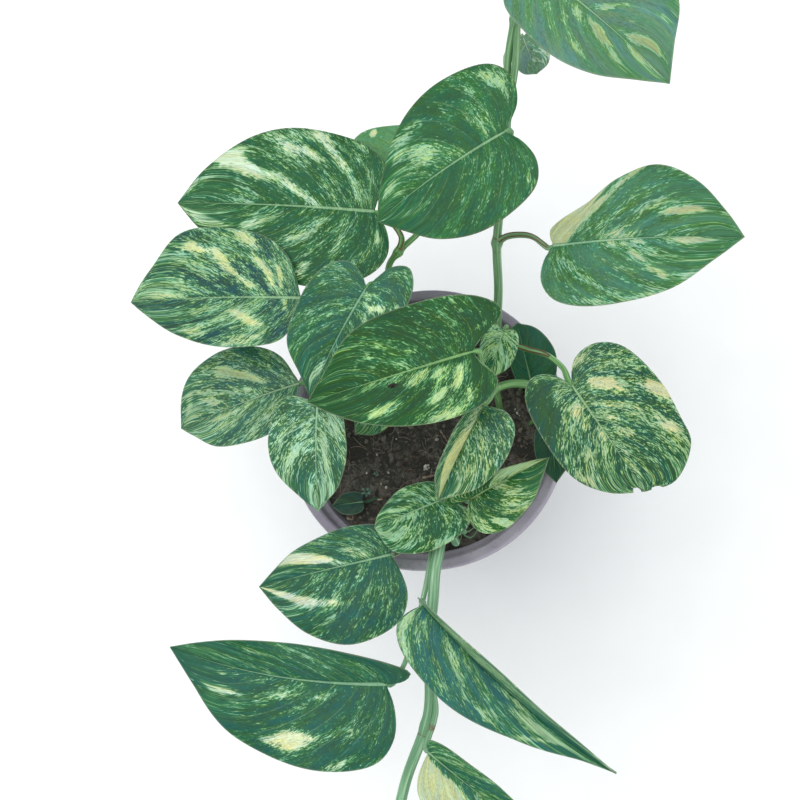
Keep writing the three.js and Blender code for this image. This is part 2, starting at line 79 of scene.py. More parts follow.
# The soil's clods: each layer of noise, its size and its height in millimetres.
CLODS = ((4, 5, 0.9), (9, 1.9, 0.5))
SOIL_GAP = 0.35
STALK_STOP = 0.2
VEIN_SWEEP = 0.22
VEIN_BEND = 1.3
VEIN_COUNT = 11


class Side(IntEnum):
    """The two halves of a blade, seen from its stalk."""

    LEFT = 1
    RIGHT = -1


class Slot(Enum):
    """The record's slots for the finishes."""

    POT = "pot"
    SOIL = "soil"
    STEM = "stem"
    LEAF = "leaf"
    PALE_LEAF = "pale_leaf"


class Layer(Enum):
    """The noises in a blade's marbling, and in the light and shade painted on it.

    Each has its size across and along the side veins in millimetres, a shift that tells it from
    the others, its octaves and how much the fine ones count.
    """

    BEND = (14.0, 14.0, 5.0, 2.0, 0.6)
    SPLASHES = (4.6, 12.0, 3.0, 6.0, 0.74)
    SPECKS = (1.2, 2.7, 11.0, 3.0, 0.7)
    MOTES = (0.7, 1.1, 31.0, 2.0, 0.6)
    DOTS = (1.3, 1.6, 71.0, 1.0, 0.5)
    CLOUDS = (13.0, 22.0, 19.0, 1.0, 0.5)
    # Painted shade: soft lighter and darker bands along the side veins, standing in for the shading
    # of the quilted blade.
    SHADE_BANDS = (3.4, 34.0, 41.0, 2.0, 0.5)
    GRIT = (0.9, 1.3, 53.0, 3.0, 0.7)
    # Painted light and shade: broad lighter and darker patches over the blade.
    LIGHT_PATCHES = (9.0, 12.0, 61.0, 2.0, 0.5)
    WARMTH = (5.0, 7.0, 83.0, 2.0, 0.6)


class Turn(Enum):
    """The tones between which a blade's colour turns; GREEN is read from the clouds."""

    GREEN = (0.36, 0.64)
    FRESH = (0.08, 0.42)
    PALE = (0.34, 0.54)
    CREAM = (0.66, 1.25)
    VEIN = (-0.5, 0.3)
    RIB = (-0.4, 0.5)


LEFT, RIGHT = Side


def linear(screen: Screen) -> tuple[float, ...]:
    """Turn a screen colour into the linear colour, with full alpha, that a shader takes."""
    shares = (value / 255 for value in screen)
    return (*(s / 12.92 if s <= 0.04045 else ((s + 0.055) / 1.055) ** 2.4 for s in shares), 1.0)


def smooth_rise(value: float, low: float, high: float) -> float:
    """Rise smoothly from 0 to 1 while a value goes from low to high."""
    share = min(max((value - low) / (high - low), 0.0), 1.0)
    return share * share * (3 - 2 * share)


def steady(value: float) -> Gauge:
    """Give a tube the same measure all along."""
    return lambda along, centre: value


def taper(radii: tuple[float, float], length: float, along: float, _centre: Vector) -> float:
    """Read a tapering tube's radius at a length along it, wherever its centre is."""
    first, last = radii
    return first + (last - first) * along / length


class Spline:
    """A smooth curve through points, read by its length."""

    STEPS = 200

    def __init__(self, points: Sequence[Sequence[float]]) -> None:
        """Measure the curve.

        Args:
            points: The points that the curve runs through.
        """
        self.points = [Vector(point) for point in points]
        samples = [self._place(step / self.STEPS) for step in range(self.STEPS + 1)]
        steps = ((b - a).length for a, b in zip(samples, samples[1:]))
        self._lengths = [0.0, *accumulate(steps)]

    @property
    def length(self) -> float:
        """The curve's length."""
        return self._lengths[-1]

    def _place(self, share: float) -> Vector:
        """Read the curve by its own parameter.

        Args:
            share: The parameter from 0 to 1.

        Returns:
            The point on the curve.
        """
        points, last = self.points, len(self.points) - 1
        index = min(floor(share * last), last - 1)
        weight = share * last - index
        start, end = points[index], points[index + 1]
        before = points[index - 1] if index > 0 else 2 * points[0] - points[1]
        after = points[index + 2] if index + 2 <= last else 2 * points[last] - points[last - 1]
        middle = (end - start).length ** 0.5
        first = (start - before).length ** 0.5 or middle
        third = (after - end).length ** 0.5 or middle
        chord = (end - start) / middle
        leave = (start - before) / first - (end - before) / (first + middle) + chord
        arrive = chord - (after - start) / (middle + third) + (after - end) / third
        leave, arrive = leave * middle, arrive * middle
        square = -3 * start + 3 * end - 2 * leave - arrive
        cube = 2 * start - 2 * end + leave + arrive
        return start + leave * weight + square * weight**2 + cube * weight**3

    def at(self, share: float) -> Vector:
        """Read the curve by its length.

        Args:
            share: The part of the length, from 0 to 1.

        Returns:
            The point on the curve.
        """
        target = min(max(share, 0.0), 1.0) * self.length
        index = min(max(bisect_left(self._lengths, target), 1), self.STEPS)
        low, high = self._lengths[index - 1], self._lengths[index]
        part = (target - low) / (high - low) if high > low else 0.0
        return self._place((index - 1 + part) / self.STEPS)


class Net:
    """Adds nodes to one shader tree and links them.

    What its methods take as an object is a plain value or a socket.
    """

    def __init__(self, tree: NodeTree) -> None:
        """Keep the tree that the nodes go into."""
        self.tree = tree

    def fill(self, node: Node, values: dict) -> None:
        """Give a node its inputs.

        Args:
            node: The node.
            values: The value of each input, by name or index.
        """
        for name, value in values.items():
            if isinstance(value, NodeSocket):
                self.tree.links.new(value, node.inputs[name])
            else:
                node.inputs[name].default_value = value

    def add(self, kind: str, values: dict | None = None, **settings: object) -> Node:
        """Add one node.

        Args:
            kind: The node's type without its "ShaderNode" prefix.
            values: The value of each input, by name or index.
            settings: The node's own properties.

        Returns:
            The new node.
        """
        node = self.tree.nodes.new("ShaderNode" + kind)
        for name, value in settings.items():
            setattr(node, name, value)
        self.fill(node, values or {})
        return node

    def math(self, operation: str, *values: object) -> NodeSocket:
        """Add a Math node on its operands and return its output."""
        return self.add("Math", dict(enumerate(values)), operation=operation).outputs[0]

    def vector(self, operation: str, *values: object) -> NodeSocket:
        """Add a Vector Math node on its operands and return its output."""
        return self.add("VectorMath", dict(enumerate(values)), operation=operation).outputs[0]

    def step(self, value: object, low: float, high: float) -> NodeSocket:
        """Rise smoothly from 0 to 1 while a value goes from low to high."""
        values = {"Value": value, "From Min": low, "From Max": high}
        return self.add("MapRange", values, interpolation_type="SMOOTHSTEP").outputs[0]

    def mix(self, factor: object, first: object, second: object) -> NodeSocket:
        """Blend two colours, with the factor as the share of the second one."""
        node = self.add("Mix", {0: factor, 6: first, 7: second}, data_type="RGBA")
        return node.outputs[2]

    def parts(self, vector: NodeSocket) -> tuple[NodeSocket, ...]:
        """Split a vector into the sockets of its three parts."""
        return tuple(self.add("SeparateXYZ", {0: vector}).outputs)

    def read(self, name: str, output: str = "Vector") -> NodeSocket:
        """Read what the mesh stores at its vertices, as a "Vector" or as a single "Fac"."""
        return self.add("Attribute", attribute_name=name).outputs[output]

    def noise(self, place: Sequence[object] | NodeSocket, detail: float, rough: float,
              scale: object = 1.0) -> NodeSocket:
        """Add a Noise node.

        Args:
            place: A vector's socket, or the value of each of its parts.
            detail: The number of octaves.
            rough: How much the fine octaves count.
            scale: The pattern's scale.

        Returns:
            The noise's socket.
        """
        if not isinstance(place, NodeSocket):
            place = self.add("CombineXYZ", dict(enumerate(place))).outputs[0]
        values = {"Vector": place, "Scale": scale, "Detail": detail, "Roughness": rough}
        return self.add("TexNoise", values).outputs[0]


@dataclass(frozen=True)
class NodeGroup:
    """A shader effect that several finishes share."""

    name: str
    inputs: dict[str, object]
    outputs: dict[str, str]
    draw: Callable[[Net, Sockets], Sockets]

    def tree(self) -> NodeTree:
        """Build the group's tree, or return the one that is there."""
        if self.name in bpy.data.node_groups:
            return bpy.data.node_groups[self.name]
        tree = bpy.data.node_groups.new(self.name, "ShaderNodeTree")
        for name, value in self.inputs.items():
            kind = "Float" if isinstance(value, float) else "Color" if len(value) == 4 else "Vector"
            socket = tree.interface.new_socket(
                name, in_out="INPUT", socket_type="NodeSocket" + kind)
            socket.default_value = value
        for name, kind in self.outputs.items():
            tree.interface.new_socket(name, in_out="OUTPUT", socket_type="NodeSocket" + kind)
        start, end = (tree.nodes.new("NodeGroup" + kind) for kind in ("Input", "Output"))
        net = Net(tree)
        net.fill(end, self.draw(net, {name: start.outputs[name] for name in self.inputs}))
        return tree

    def use(self, net: Net, values: dict[str, object]) -> Sockets:
        """Place the group in a material.

        Args:
            net: The material's nodes.
            values: A value by name. What is no input of the group is left out.

        Returns:
            The group's outputs by name.
        """
        node = net.add("Group", node_tree=self.tree())
        net.fill(node, {name: value for name, value in values.items() if name in self.inputs})
        return {name: node.outputs[name] for name in self.outputs}


def draw_marbling(net: Net, given: Sockets) -> Sockets:
    """Draw streaks, flecks and clouds that follow a blade's side veins, with the light and shade
    painted on the blade.

    Args:
        net: The group's nodes.
        given: The group's inputs.

    Returns:
        How pale the blade is, the clouds alone, its painted light and shade together with its fine
        grain, and how warm.
    """
    bend_reach, mote_share, dot_tone, dot_edge = 4.0, 0.45, 0.5, (0.37, 0.5)
    shade_band_strength, grit_light, light_patch_strength, warmth_gain = 0.35, 0.8, 0.28, 3.6
    vein, along, _ = net.parts(given["Vein"])
    across = net.math("MULTIPLY", vein, given["Margin"])

    def layer(kind: Layer) -> NodeSocket:
        """Draw one of the noises.

        Args:
            kind: Which noise.

        Returns:
            The noise about zero.
        """
        wide, long, shift, detail, rough = kind.value
        place = (net.math("DIVIDE", across, wide), net.math("DIVIDE", along, long),
                 net.math("ADD", given["Seed"], shift))
        return net.math("MULTIPLY_ADD", net.noise(place, detail, rough), 2.0, -1.0)

    across = net.math("MULTIPLY_ADD", layer(Layer.BEND), bend_reach, across)
    splashes = net.math("MULTIPLY", layer(Layer.SPLASHES), given["Streaks"])
    specks = net.math("MULTIPLY_ADD", layer(Layer.MOTES), mote_share, layer(Layer.SPECKS))
    clouds = layer(Layer.CLOUDS)
    tone = net.math("ADD", splashes, net.math("MULTIPLY", specks, given["Flecks"]))
    tone = net.math("ADD", tone, net.math("MULTIPLY", clouds, given["Clouds"]))
    tone = net.math("ADD", net.math("ADD", tone, given["Patch"]), given["Balance"])
    dots = net.math("MULTIPLY", net.step(layer(Layer.DOTS), *dot_edge), given["Flecks"])
    # Painted light and shade: shade bands along the side veins and broad light and dark patches,
    # together with the fine grain, make the factor that scales the colour.
    light = net.math("MULTIPLY_ADD", layer(Layer.SHADE_BANDS), shade_band_strength, 1.0)
    light = net.math("MULTIPLY_ADD", layer(Layer.GRIT), grit_light, light)
    return {"Tone": net.math("MULTIPLY_ADD", dots, dot_tone, tone),
            "Cloud": net.math("MULTIPLY_ADD", clouds, 0.5, 0.5),
            "Light": net.math("MULTIPLY_ADD", layer(Layer.LIGHT_PATCHES), light_patch_strength, light),
            "Warm": net.math("MULTIPLY", layer(Layer.WARMTH), warmth_gain)}


def draw_leaf_colour(net: Net, given: Sockets) -> Sockets:
    """Colour a blade by how pale it is.

    Args:
        net: The group's nodes.
        given: The group's inputs.

    Returns:
        The blade's colour.
    """
    patch_share, trace_share, under_share, rim_share = 0.8, 0.22, 0.55, 0.3
    warm_tint, warm_shift = (0.06, 0.0, -0.16), (0.004, 0.0, -0.005)
    rib_gain, rib_least = 0.35, 0.6
    tone, warm = given["Tone"], given["Warm"]
    # Partly painted reflection: the clouds turn the green towards the dark blue-green, which stands
    # partly for the blade's own dark green and partly for a painted bluish sheen of the sky.
    green = net.mix(net.step(given["Cloud"], *Turn.GREEN.value), given["Dark"], given["Green"])
    green = net.mix(net.step(tone, *Turn.FRESH.value), green, given["Fresh"])
    pale = net.mix(net.step(tone, *Turn.PALE.value), green, given["Pale"])
    ripe = net.math("MULTIPLY_ADD", given["Patch"], patch_share, tone)
    cream = net.mix(net.step(ripe, *Turn.CREAM.value), pale, given["Cream"])
    traced = net.math("MULTIPLY", given["Groove"], net.step(tone, *Turn.VEIN.value))
    veined = net.mix(net.math("MULTIPLY", traced, trace_share), cream, given["Pale"])
    tint = net.vector("MULTIPLY_ADD", warm_tint, warm, (1.0, 1.0, 1.0))
    shift = net.vector("MULTIPLY", warm_shift, warm)
    # The painted light and shade from the marbling, with the fine grain, scale the colour here.
    lit = net.vector("MULTIPLY", net.vector("MULTIPLY_ADD", veined, tint, shift), given["Light"])
    paleness = net.math("MULTIPLY_ADD", net.step(tone, *Turn.RIB.value), rib_gain, rib_least)
    rib = net.mix(net.math("MULTIPLY", given["Rib"], paleness), lit, given["Pale"])
    under = net.mix(net.math("MULTIPLY", given["Back"], under_share), rib, given["Under"])
    return {"Color": net.mix(net.math("MULTIPLY", given["Edge"], rim_share), under, given["Rim"])}


def draw_relief(net: Net, given: Sockets) -> Sockets:
    """Draw a blade's midrib, its sunk side veins and its thin margin.

    Args:
        net: The group's nodes.
        given: The group's inputs.

    Returns:
        The masks of the midrib, the margin, the underside and the veins, and their height.
    """
    rib_edge, groove_edge, rim_edge = (0.55, 1.15), (0.93, 1.0), (0.75, 0.2)
    groove_start, groove_end, rim_start = (0.02, 0.2), (0.95, 0.6), (0.5, 0.7)
    swell_height, groove_depth, rib_depth, rib_fading = -0.1, 0.22, 1.2, -0.45
    vein, along, share = net.parts(given["Vein"])
    _, rib, back = net.parts(given["Mark"])
    midrib = net.math("SUBTRACT", 1.0, net.step(rib, *rib_edge))
    wave = net.math("COSINE", net.math("MULTIPLY", vein, 2 * pi * VEIN_COUNT))
    groove = net.math("MULTIPLY", net.step(wave, *groove_edge), net.step(share, *groove_start))
    groove = net.math("MULTIPLY", groove, net.step(share, *groove_end))
    height = net.math("SUBTRACT", net.math("MULTIPLY", wave, swell_height),
                      net.math("MULTIPLY", groove, groove_depth))
    height = net.math("SUBTRACT", height, net.math("MULTIPLY", midrib, rib_depth))
    reach = net.math("ABSOLUTE", along)
    whole = net.math("DIVIDE", reach, net.math("MAXIMUM", share, 0.05))
    inside = net.math("SUBTRACT", whole, reach)
    edge = net.math("MULTIPLY", net.step(inside, *rim_edge), net.step(share, *rim_start))
    fading = net.math("MULTIPLY", midrib, net.math("MULTIPLY_ADD", vein, rib_fading, 1.0))
    return {"Rib": fading, "Edge": edge, "Back": back, "Groove": groove, "Height": height}


def draw_grain(net: Net, given: Sockets) -> Sockets:
    """Draw the fine uneven grain of a skin, a moulding or a clod.

    Args:
        net: The group's nodes.
        given: The group's inputs.

    Returns:
        A fine mask, a broad mask and the height of both.
    """
    broad_scale, broad_height = 0.08, 1.5
    place = net.add("TexCoord").outputs["Object"]
    fine = net.noise(place, 3.0, 0.6, given["Scale"])
    broad = net.noise(place, 2.0, 0.5, net.math("MULTIPLY", given["Scale"], broad_scale))
    height = net.math("ADD", fine, net.math("MULTIPLY", broad, broad_height))
    return {"Fine": fine, "Broad": broad, "Height": height}


MARBLING = NodeGroup(
    "marbling",
    {"Vein": (0.0, 0.0, 0.0), "Margin": 100.0, "Patch": 0.0, "Seed": 0.0, "Streaks": 1.0,
     "Flecks": 1.0, "Clouds": 0.5, "Balance": 0.15},
    {"Tone": "Float", "Cloud": "Float", "Light": "Float", "Warm": "Float"}, draw_marbling)
LEAF_COLOUR = NodeGroup(
    "leaf_colour",
    {"Tone": 0.0, "Patch": 0.0, "Cloud": 0.5, "Light": 1.0, "Warm": 0.0, "Rib": 0.0,
     "Groove": 0.0, "Back": 0.0, "Edge": 0.0, "Dark": linear((24, 78, 62)),
     "Green": linear((32, 92, 52)), "Fresh": linear((58, 120, 66)),
     "Pale": linear((146, 184, 122)), "Cream": linear((224, 218, 164)),
     "Under": linear((128, 160, 118)), "Rim": linear((122, 106, 84))},
    {"Color": "Color"}, draw_leaf_colour)
RELIEF = NodeGroup(
    "vein_relief", {"Vein": (0.0, 0.0, 0.0), "Mark": (0.0, 0.0, 0.0)},
    {"Rib": "Float", "Edge": "Float", "Back": "Float", "Groove": "Float", "Height": "Float"},
    draw_relief)
GRAIN = NodeGroup(
    "grain", {"Scale": 200.0}, {"Fine": "Float", "Broad": "Float", "Height": "Float"}, draw_grain)


def new_material(name: str) -> tuple[Material, Net, Node]:
    """Start a material with a Principled shader.

    Args:
        name: The material's name.

    Returns:
        The material, its nodes and its shader.
    """
    material = bpy.data.materials.new(name)
    material.use_nodes = True
    material.node_tree.nodes.clear()
    net = Net(material.node_tree)
    shader = net.add("BsdfPrincipled")
    net.add("OutputMaterial", {"Surface": shader.outputs[0]})
    return material, net, shader


def wire(net: Net, shader: Node, colour: object, roughness: object, height: NodeSocket,
         depth: float) -> None:
    """Feed a shader with its colour, roughness and relief.

    Args:
        net: The material's nodes.
        shader: The Principled shader.
        colour: The colour's socket or value.
        roughness: The roughness's socket or value.
        height: The relief's socket.
        depth: The relief's depth in millimetres.
    """
    bump = net.add("Bump", {"Height": height, "Strength": 1.0, "Distance": depth * MM})
    net.fill(shader, {"Base Color": colour, "Roughness": roughness, "Normal": bump.outputs[0]})


@dataclass(frozen=True)
class LeafFinish:
    """The skin of one blade: its marbling and its greens."""

    streaks: float = 1.0
    flecks: float = 1.0
    clouds: float = 0.5
    balance: float = 0.15
    # The dark colour is partly the blade's own dark green and partly a painted bluish sheen of the
    # sky.
    dark: Screen = (22, 80, 62)
    green: Screen = (22, 86, 42)
    fresh: Screen = (60, 124, 68)
    pale: Screen = (144, 184, 138)
    cream: Screen = (190, 200, 152)
    rim: Screen = (150, 158, 126)

    ROUGHNESS = 0.37
    UNEVENNESS = 0.16
    SHINE = 0.28
    GRAIN_SCALE = 900.0
    GRAIN_HEIGHT = 0.25
    DEPTH = 0.35

    def material(self, name: str, margin: float, seed: float) -> Material:
        """Build the blade's material.

        Args:
            name: The material's name.
            margin: The length of half the blade's margin in millimetres.
            seed: What tells its marbling from the other blades'.

        Returns:
            The material.
        """
        material, net, shader = new_material(name)
        vein, mark = net.read("vein"), net.read("mark")
        patch = net.parts(mark)[0]
        relief = RELIEF.use(net, {"Vein": vein, "Mark": mark})
        marbling = MARBLING.use(net, {
            "Vein": vein, "Margin": margin, "Patch": patch, "Seed": seed, "Streaks": self.streaks,
            "Flecks": self.flecks, "Clouds": self.clouds, "Balance": self.balance})
        colours = {"Dark": self.dark, "Green": self.green, "Fresh": self.fresh,
                   "Pale": self.pale, "Cream": self.cream, "Rim": self.rim}
        skin = {kind: linear(screen) for kind, screen in colours.items()}
        colour = LEAF_COLOUR.use(net, {**marbling, **relief, **skin, "Patch": patch})["Color"]
        grain = GRAIN.use(net, {"Scale": self.GRAIN_SCALE})
        rough = net.math("MULTIPLY_ADD", grain["Broad"], self.UNEVENNESS, self.ROUGHNESS)
        fine = net.math("MULTIPLY", grain["Fine"], self.GRAIN_HEIGHT)
        wire(net, shader, colour, rough, net.math("ADD", relief["Height"], fine), self.DEPTH)
        net.fill(shader, {"Specular IOR Level": self.SHINE})
        return material


@dataclass(frozen=True)
class StemFinish:
    """The striped green skin of the stems and leaf stalks."""

    green: Screen = (126, 180, 108)
    pale: Screen = (164, 206, 144)
    shade: Screen = (84, 136, 74)
    dry: Screen = (112, 84, 62)

    ROUGHNESS = 0.42
    SCAR_ROUGHNESS = 0.3
    GRAIN_SCALE = 700.0
    DEPTH = 0.3

    def material(self, name: str) -> Material:
        """Build the stems' material.

        Args:
            name: The material's name.

        Returns:
            The material.
        """
        stripe_width, stripe_length, stripe_height, scar_height = 2.6, 0.03, 1.4, -0.5
        green_edge, pale_edge = (0.4, 0.62), (0.55, 0.74)
        spot_edge, dry_edge, spot_share = (0.62, 0.72), (0.35, 0.75), 0.25
        rag_size, rag_shift = 0.6, -0.3
        material, net, shader = new_material(name)
        scar = net.read("scar", "Fac")
        x, y, along = net.parts(net.read("wrap"))
        place = (net.math("MULTIPLY", x, stripe_width), net.math("MULTIPLY", y, stripe_width),
                 net.math("MULTIPLY", along, stripe_length))
        stripes = net.noise(place, 3.0, 0.6)
        grain = GRAIN.use(net, {"Scale": self.GRAIN_SCALE})
        dry = linear(self.dry)
        colour = net.mix(net.step(stripes, *green_edge), linear(self.shade), linear(self.green))
        colour = net.mix(net.step(stripes, *pale_edge), colour, linear(self.pale))
        spots = net.math("MULTIPLY", net.step(grain["Fine"], *spot_edge), spot_share)
        colour = net.mix(spots, colour, dry)
        ragged = net.math("ADD", scar, net.math("MULTIPLY_ADD", grain["Fine"], rag_size, rag_shift))
        colour = net.mix(net.step(ragged, *dry_edge), colour, dry)
        rough = net.math("MULTIPLY_ADD", scar, self.SCAR_ROUGHNESS, self.ROUGHNESS)
        height = net.math("ADD", net.math("MULTIPLY", stripes, stripe_height),
                          net.math("MULTIPLY", scar, scar_height))
        wire(net, shader, colour, rough, height, self.DEPTH)
        return material


@dataclass(frozen=True)
class PotFinish:
    """Grey-violet moulded plastic, a little dusty and rubbed."""

    plastic: Screen = (142, 134, 150)
    worn: Screen = (164, 158, 170)
    dust: Screen = (112, 106, 112)

    ROUGHNESS = 0.42
    UNEVENNESS = 0.25
    DUST_SHARE = 0.35
    GRAIN_SCALE = 420.0
    DEPTH = 0.12

    def material(self, name: str) -> Material:
        """Build the pot's material.

        Args:
            name: The material's name.

        Returns:
            The material.
        """
        worn_edge, dust_edge = (0.35, 0.7), (0.52, 0.7)
        material, net, shader = new_material(name)
        grain = GRAIN.use(net, {"Scale": self.GRAIN_SCALE})
        rubbed = net.step(grain["Broad"], *worn_edge)
        colour = net.mix(rubbed, linear(self.plastic), linear(self.worn))
        dusty = net.math("MULTIPLY", net.step(grain["Fine"], *dust_edge), self.DUST_SHARE)
        colour = net.mix(dusty, colour, linear(self.dust))
        rough = net.math("MULTIPLY_ADD", grain["Broad"], self.UNEVENNESS, self.ROUGHNESS)
        wire(net, shader, colour, rough, grain["Height"], self.DEPTH)
        return material


@dataclass(frozen=True)
class EarthFinish:
    """Potting mix and the small things in it, each piece a little different."""

    dark: Screen = (55, 53, 49)
    light: Screen = (110, 104, 96)
    roughness: float = 0.95
    scale: float = 600.0
    depth: float = 0.5

    def material(self, name: str) -> Material:
        """Build the material.

        Args:
            name: The material's name.

        Returns:
            The material.
        """
        light_edge = (0.35, 0.85)
        material, net, shader = new_material(name)
        grain = GRAIN.use(net, {"Scale": self.scale})
        mask = net.step(net.math("ADD", grain["Fine"], net.read("shade", "Fac")), *light_edge)
        colour = net.mix(mask, linear(self.dark), linear(self.light))
        wire(net, shader, colour, self.roughness, grain["Height"], self.depth)
        return material


def make_piece(name: str, bm: BMesh, material: Material, nodes: Sequence[str],
               sharp: float = 40.0) -> Object:
    """Turn a finished mesh into a piece of the plant.

    Args:
        name: The piece's name.
        bm: The mesh, in metres in the frame. It is freed.
        material: The piece's material.
        nodes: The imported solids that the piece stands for.
        sharp: The angle in degrees past which an edge stays crisp.

    Returns:
        The new object.
    """
    for face in bm.faces:
        face.smooth = True
    mesh = bpy.data.meshes.new(name)
    bm.to_mesh(mesh)
    bm.free()
    mesh.set_sharp_from_angle(angle=radians(sharp))
    mesh.materials.append(material)
    piece = bpy.data.objects.new(name, mesh)
    bpy.context.scene.collection.objects.link(piece)
    if nodes:
        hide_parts(*nodes)
    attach(piece, BODY)
    LOG.info("%s: %d faces", name, len(mesh.polygons))
    return piece


@dataclass(frozen=True)
class Half:
    """Half of a blade's outline, in parts of the blade's length, and how it stands."""

    width: float
    lobe: float
    belly: float
    round: float = 0.22
    full: float = 0.78
    point: float = 0.34
    fold: float = 8.0
    curl: float = -0.35
    notch: float = 0.75
    square: float = 0.0

    def margin(self) -> Spline:
        """The margin from the notch round the lobe to the tip."""
        rest, shoulder, neck = 1 - self.belly, 0.5, 0.8
        notch_width, lobe_width, round_width, square_width = 0.22, 0.55, 0.84, 0.42
        return Spline([
            (0, 0, 0),
            (-self.notch * self.lobe, notch_width * self.width, 0),
            (-self.lobe, lobe_width * self.width, 0),
            (-self.lobe + self.round * (self.belly + self.lobe), round_width * self.width, 0),
            (self.belly, self.width, 0),
            (self.belly + shoulder * rest, self.full * self.width, 0),
            (self.belly + neck * rest, self.point * self.width, 0),
            *(((1 + self.square, square_width * self.width, 0),) if self.square else ()),
            (1, 0, 0),
        ])


@dataclass(frozen=True)
class Patch:
    """A pale or dark place on one half of a blade, laid along its side veins."""

    side: int
    vein: float
    start: float
    end: float
    spread: float
    tone: float = 0.5
    lean: float = 0.0

    OUTER = 0.07
    INNER = 0.05

    def at(self, side: int, vein: float, share: float) -> float:
        """Read how strongly the patch shows at a place.

        Args:
            side: The half that the place is on, or 0 on the midrib.
            vein: Which side vein it lies on.
            share: How far out it lies, from the midrib to the margin.

        Returns:
            The patch's part of the tone there.
        """
        if side == -self.side:
            return 0.0
        reach = min(max((share - self.start) / (self.end - self.start), 0.0), 1.0)
        across = exp(-(((vein - self.vein - self.lean * reach) / self.spread) ** 4))
        near = smooth_rise(share, self.start - self.OUTER, self.start + self.INNER)
        far = 1 - smooth_rise(share, self.end - self.INNER, self.end + self.OUTER)
        return self.tone * across * near * far


def patches_on(side: Side, *rows: tuple[float, ...]) -> tuple[Patch, ...]:
    """List the patches on one side, each from its vein, start, end, spread, tone and lean."""
    return tuple(Patch(side, *row) for row in rows)


@dataclass(frozen=True)
class Tear:
    """A place where a blade's skin is gone, with its reach in millimetres and its turn."""

    side: int
    station: float
    share: float
    reach: tuple[float, float]
    turn: float = 0.0

    NEAR = 2.2
    CUTS = 3
    LEAST_DEPTH = 0.4
    RAGGED = 0.16
    RAGGED_SIZE = 2.1


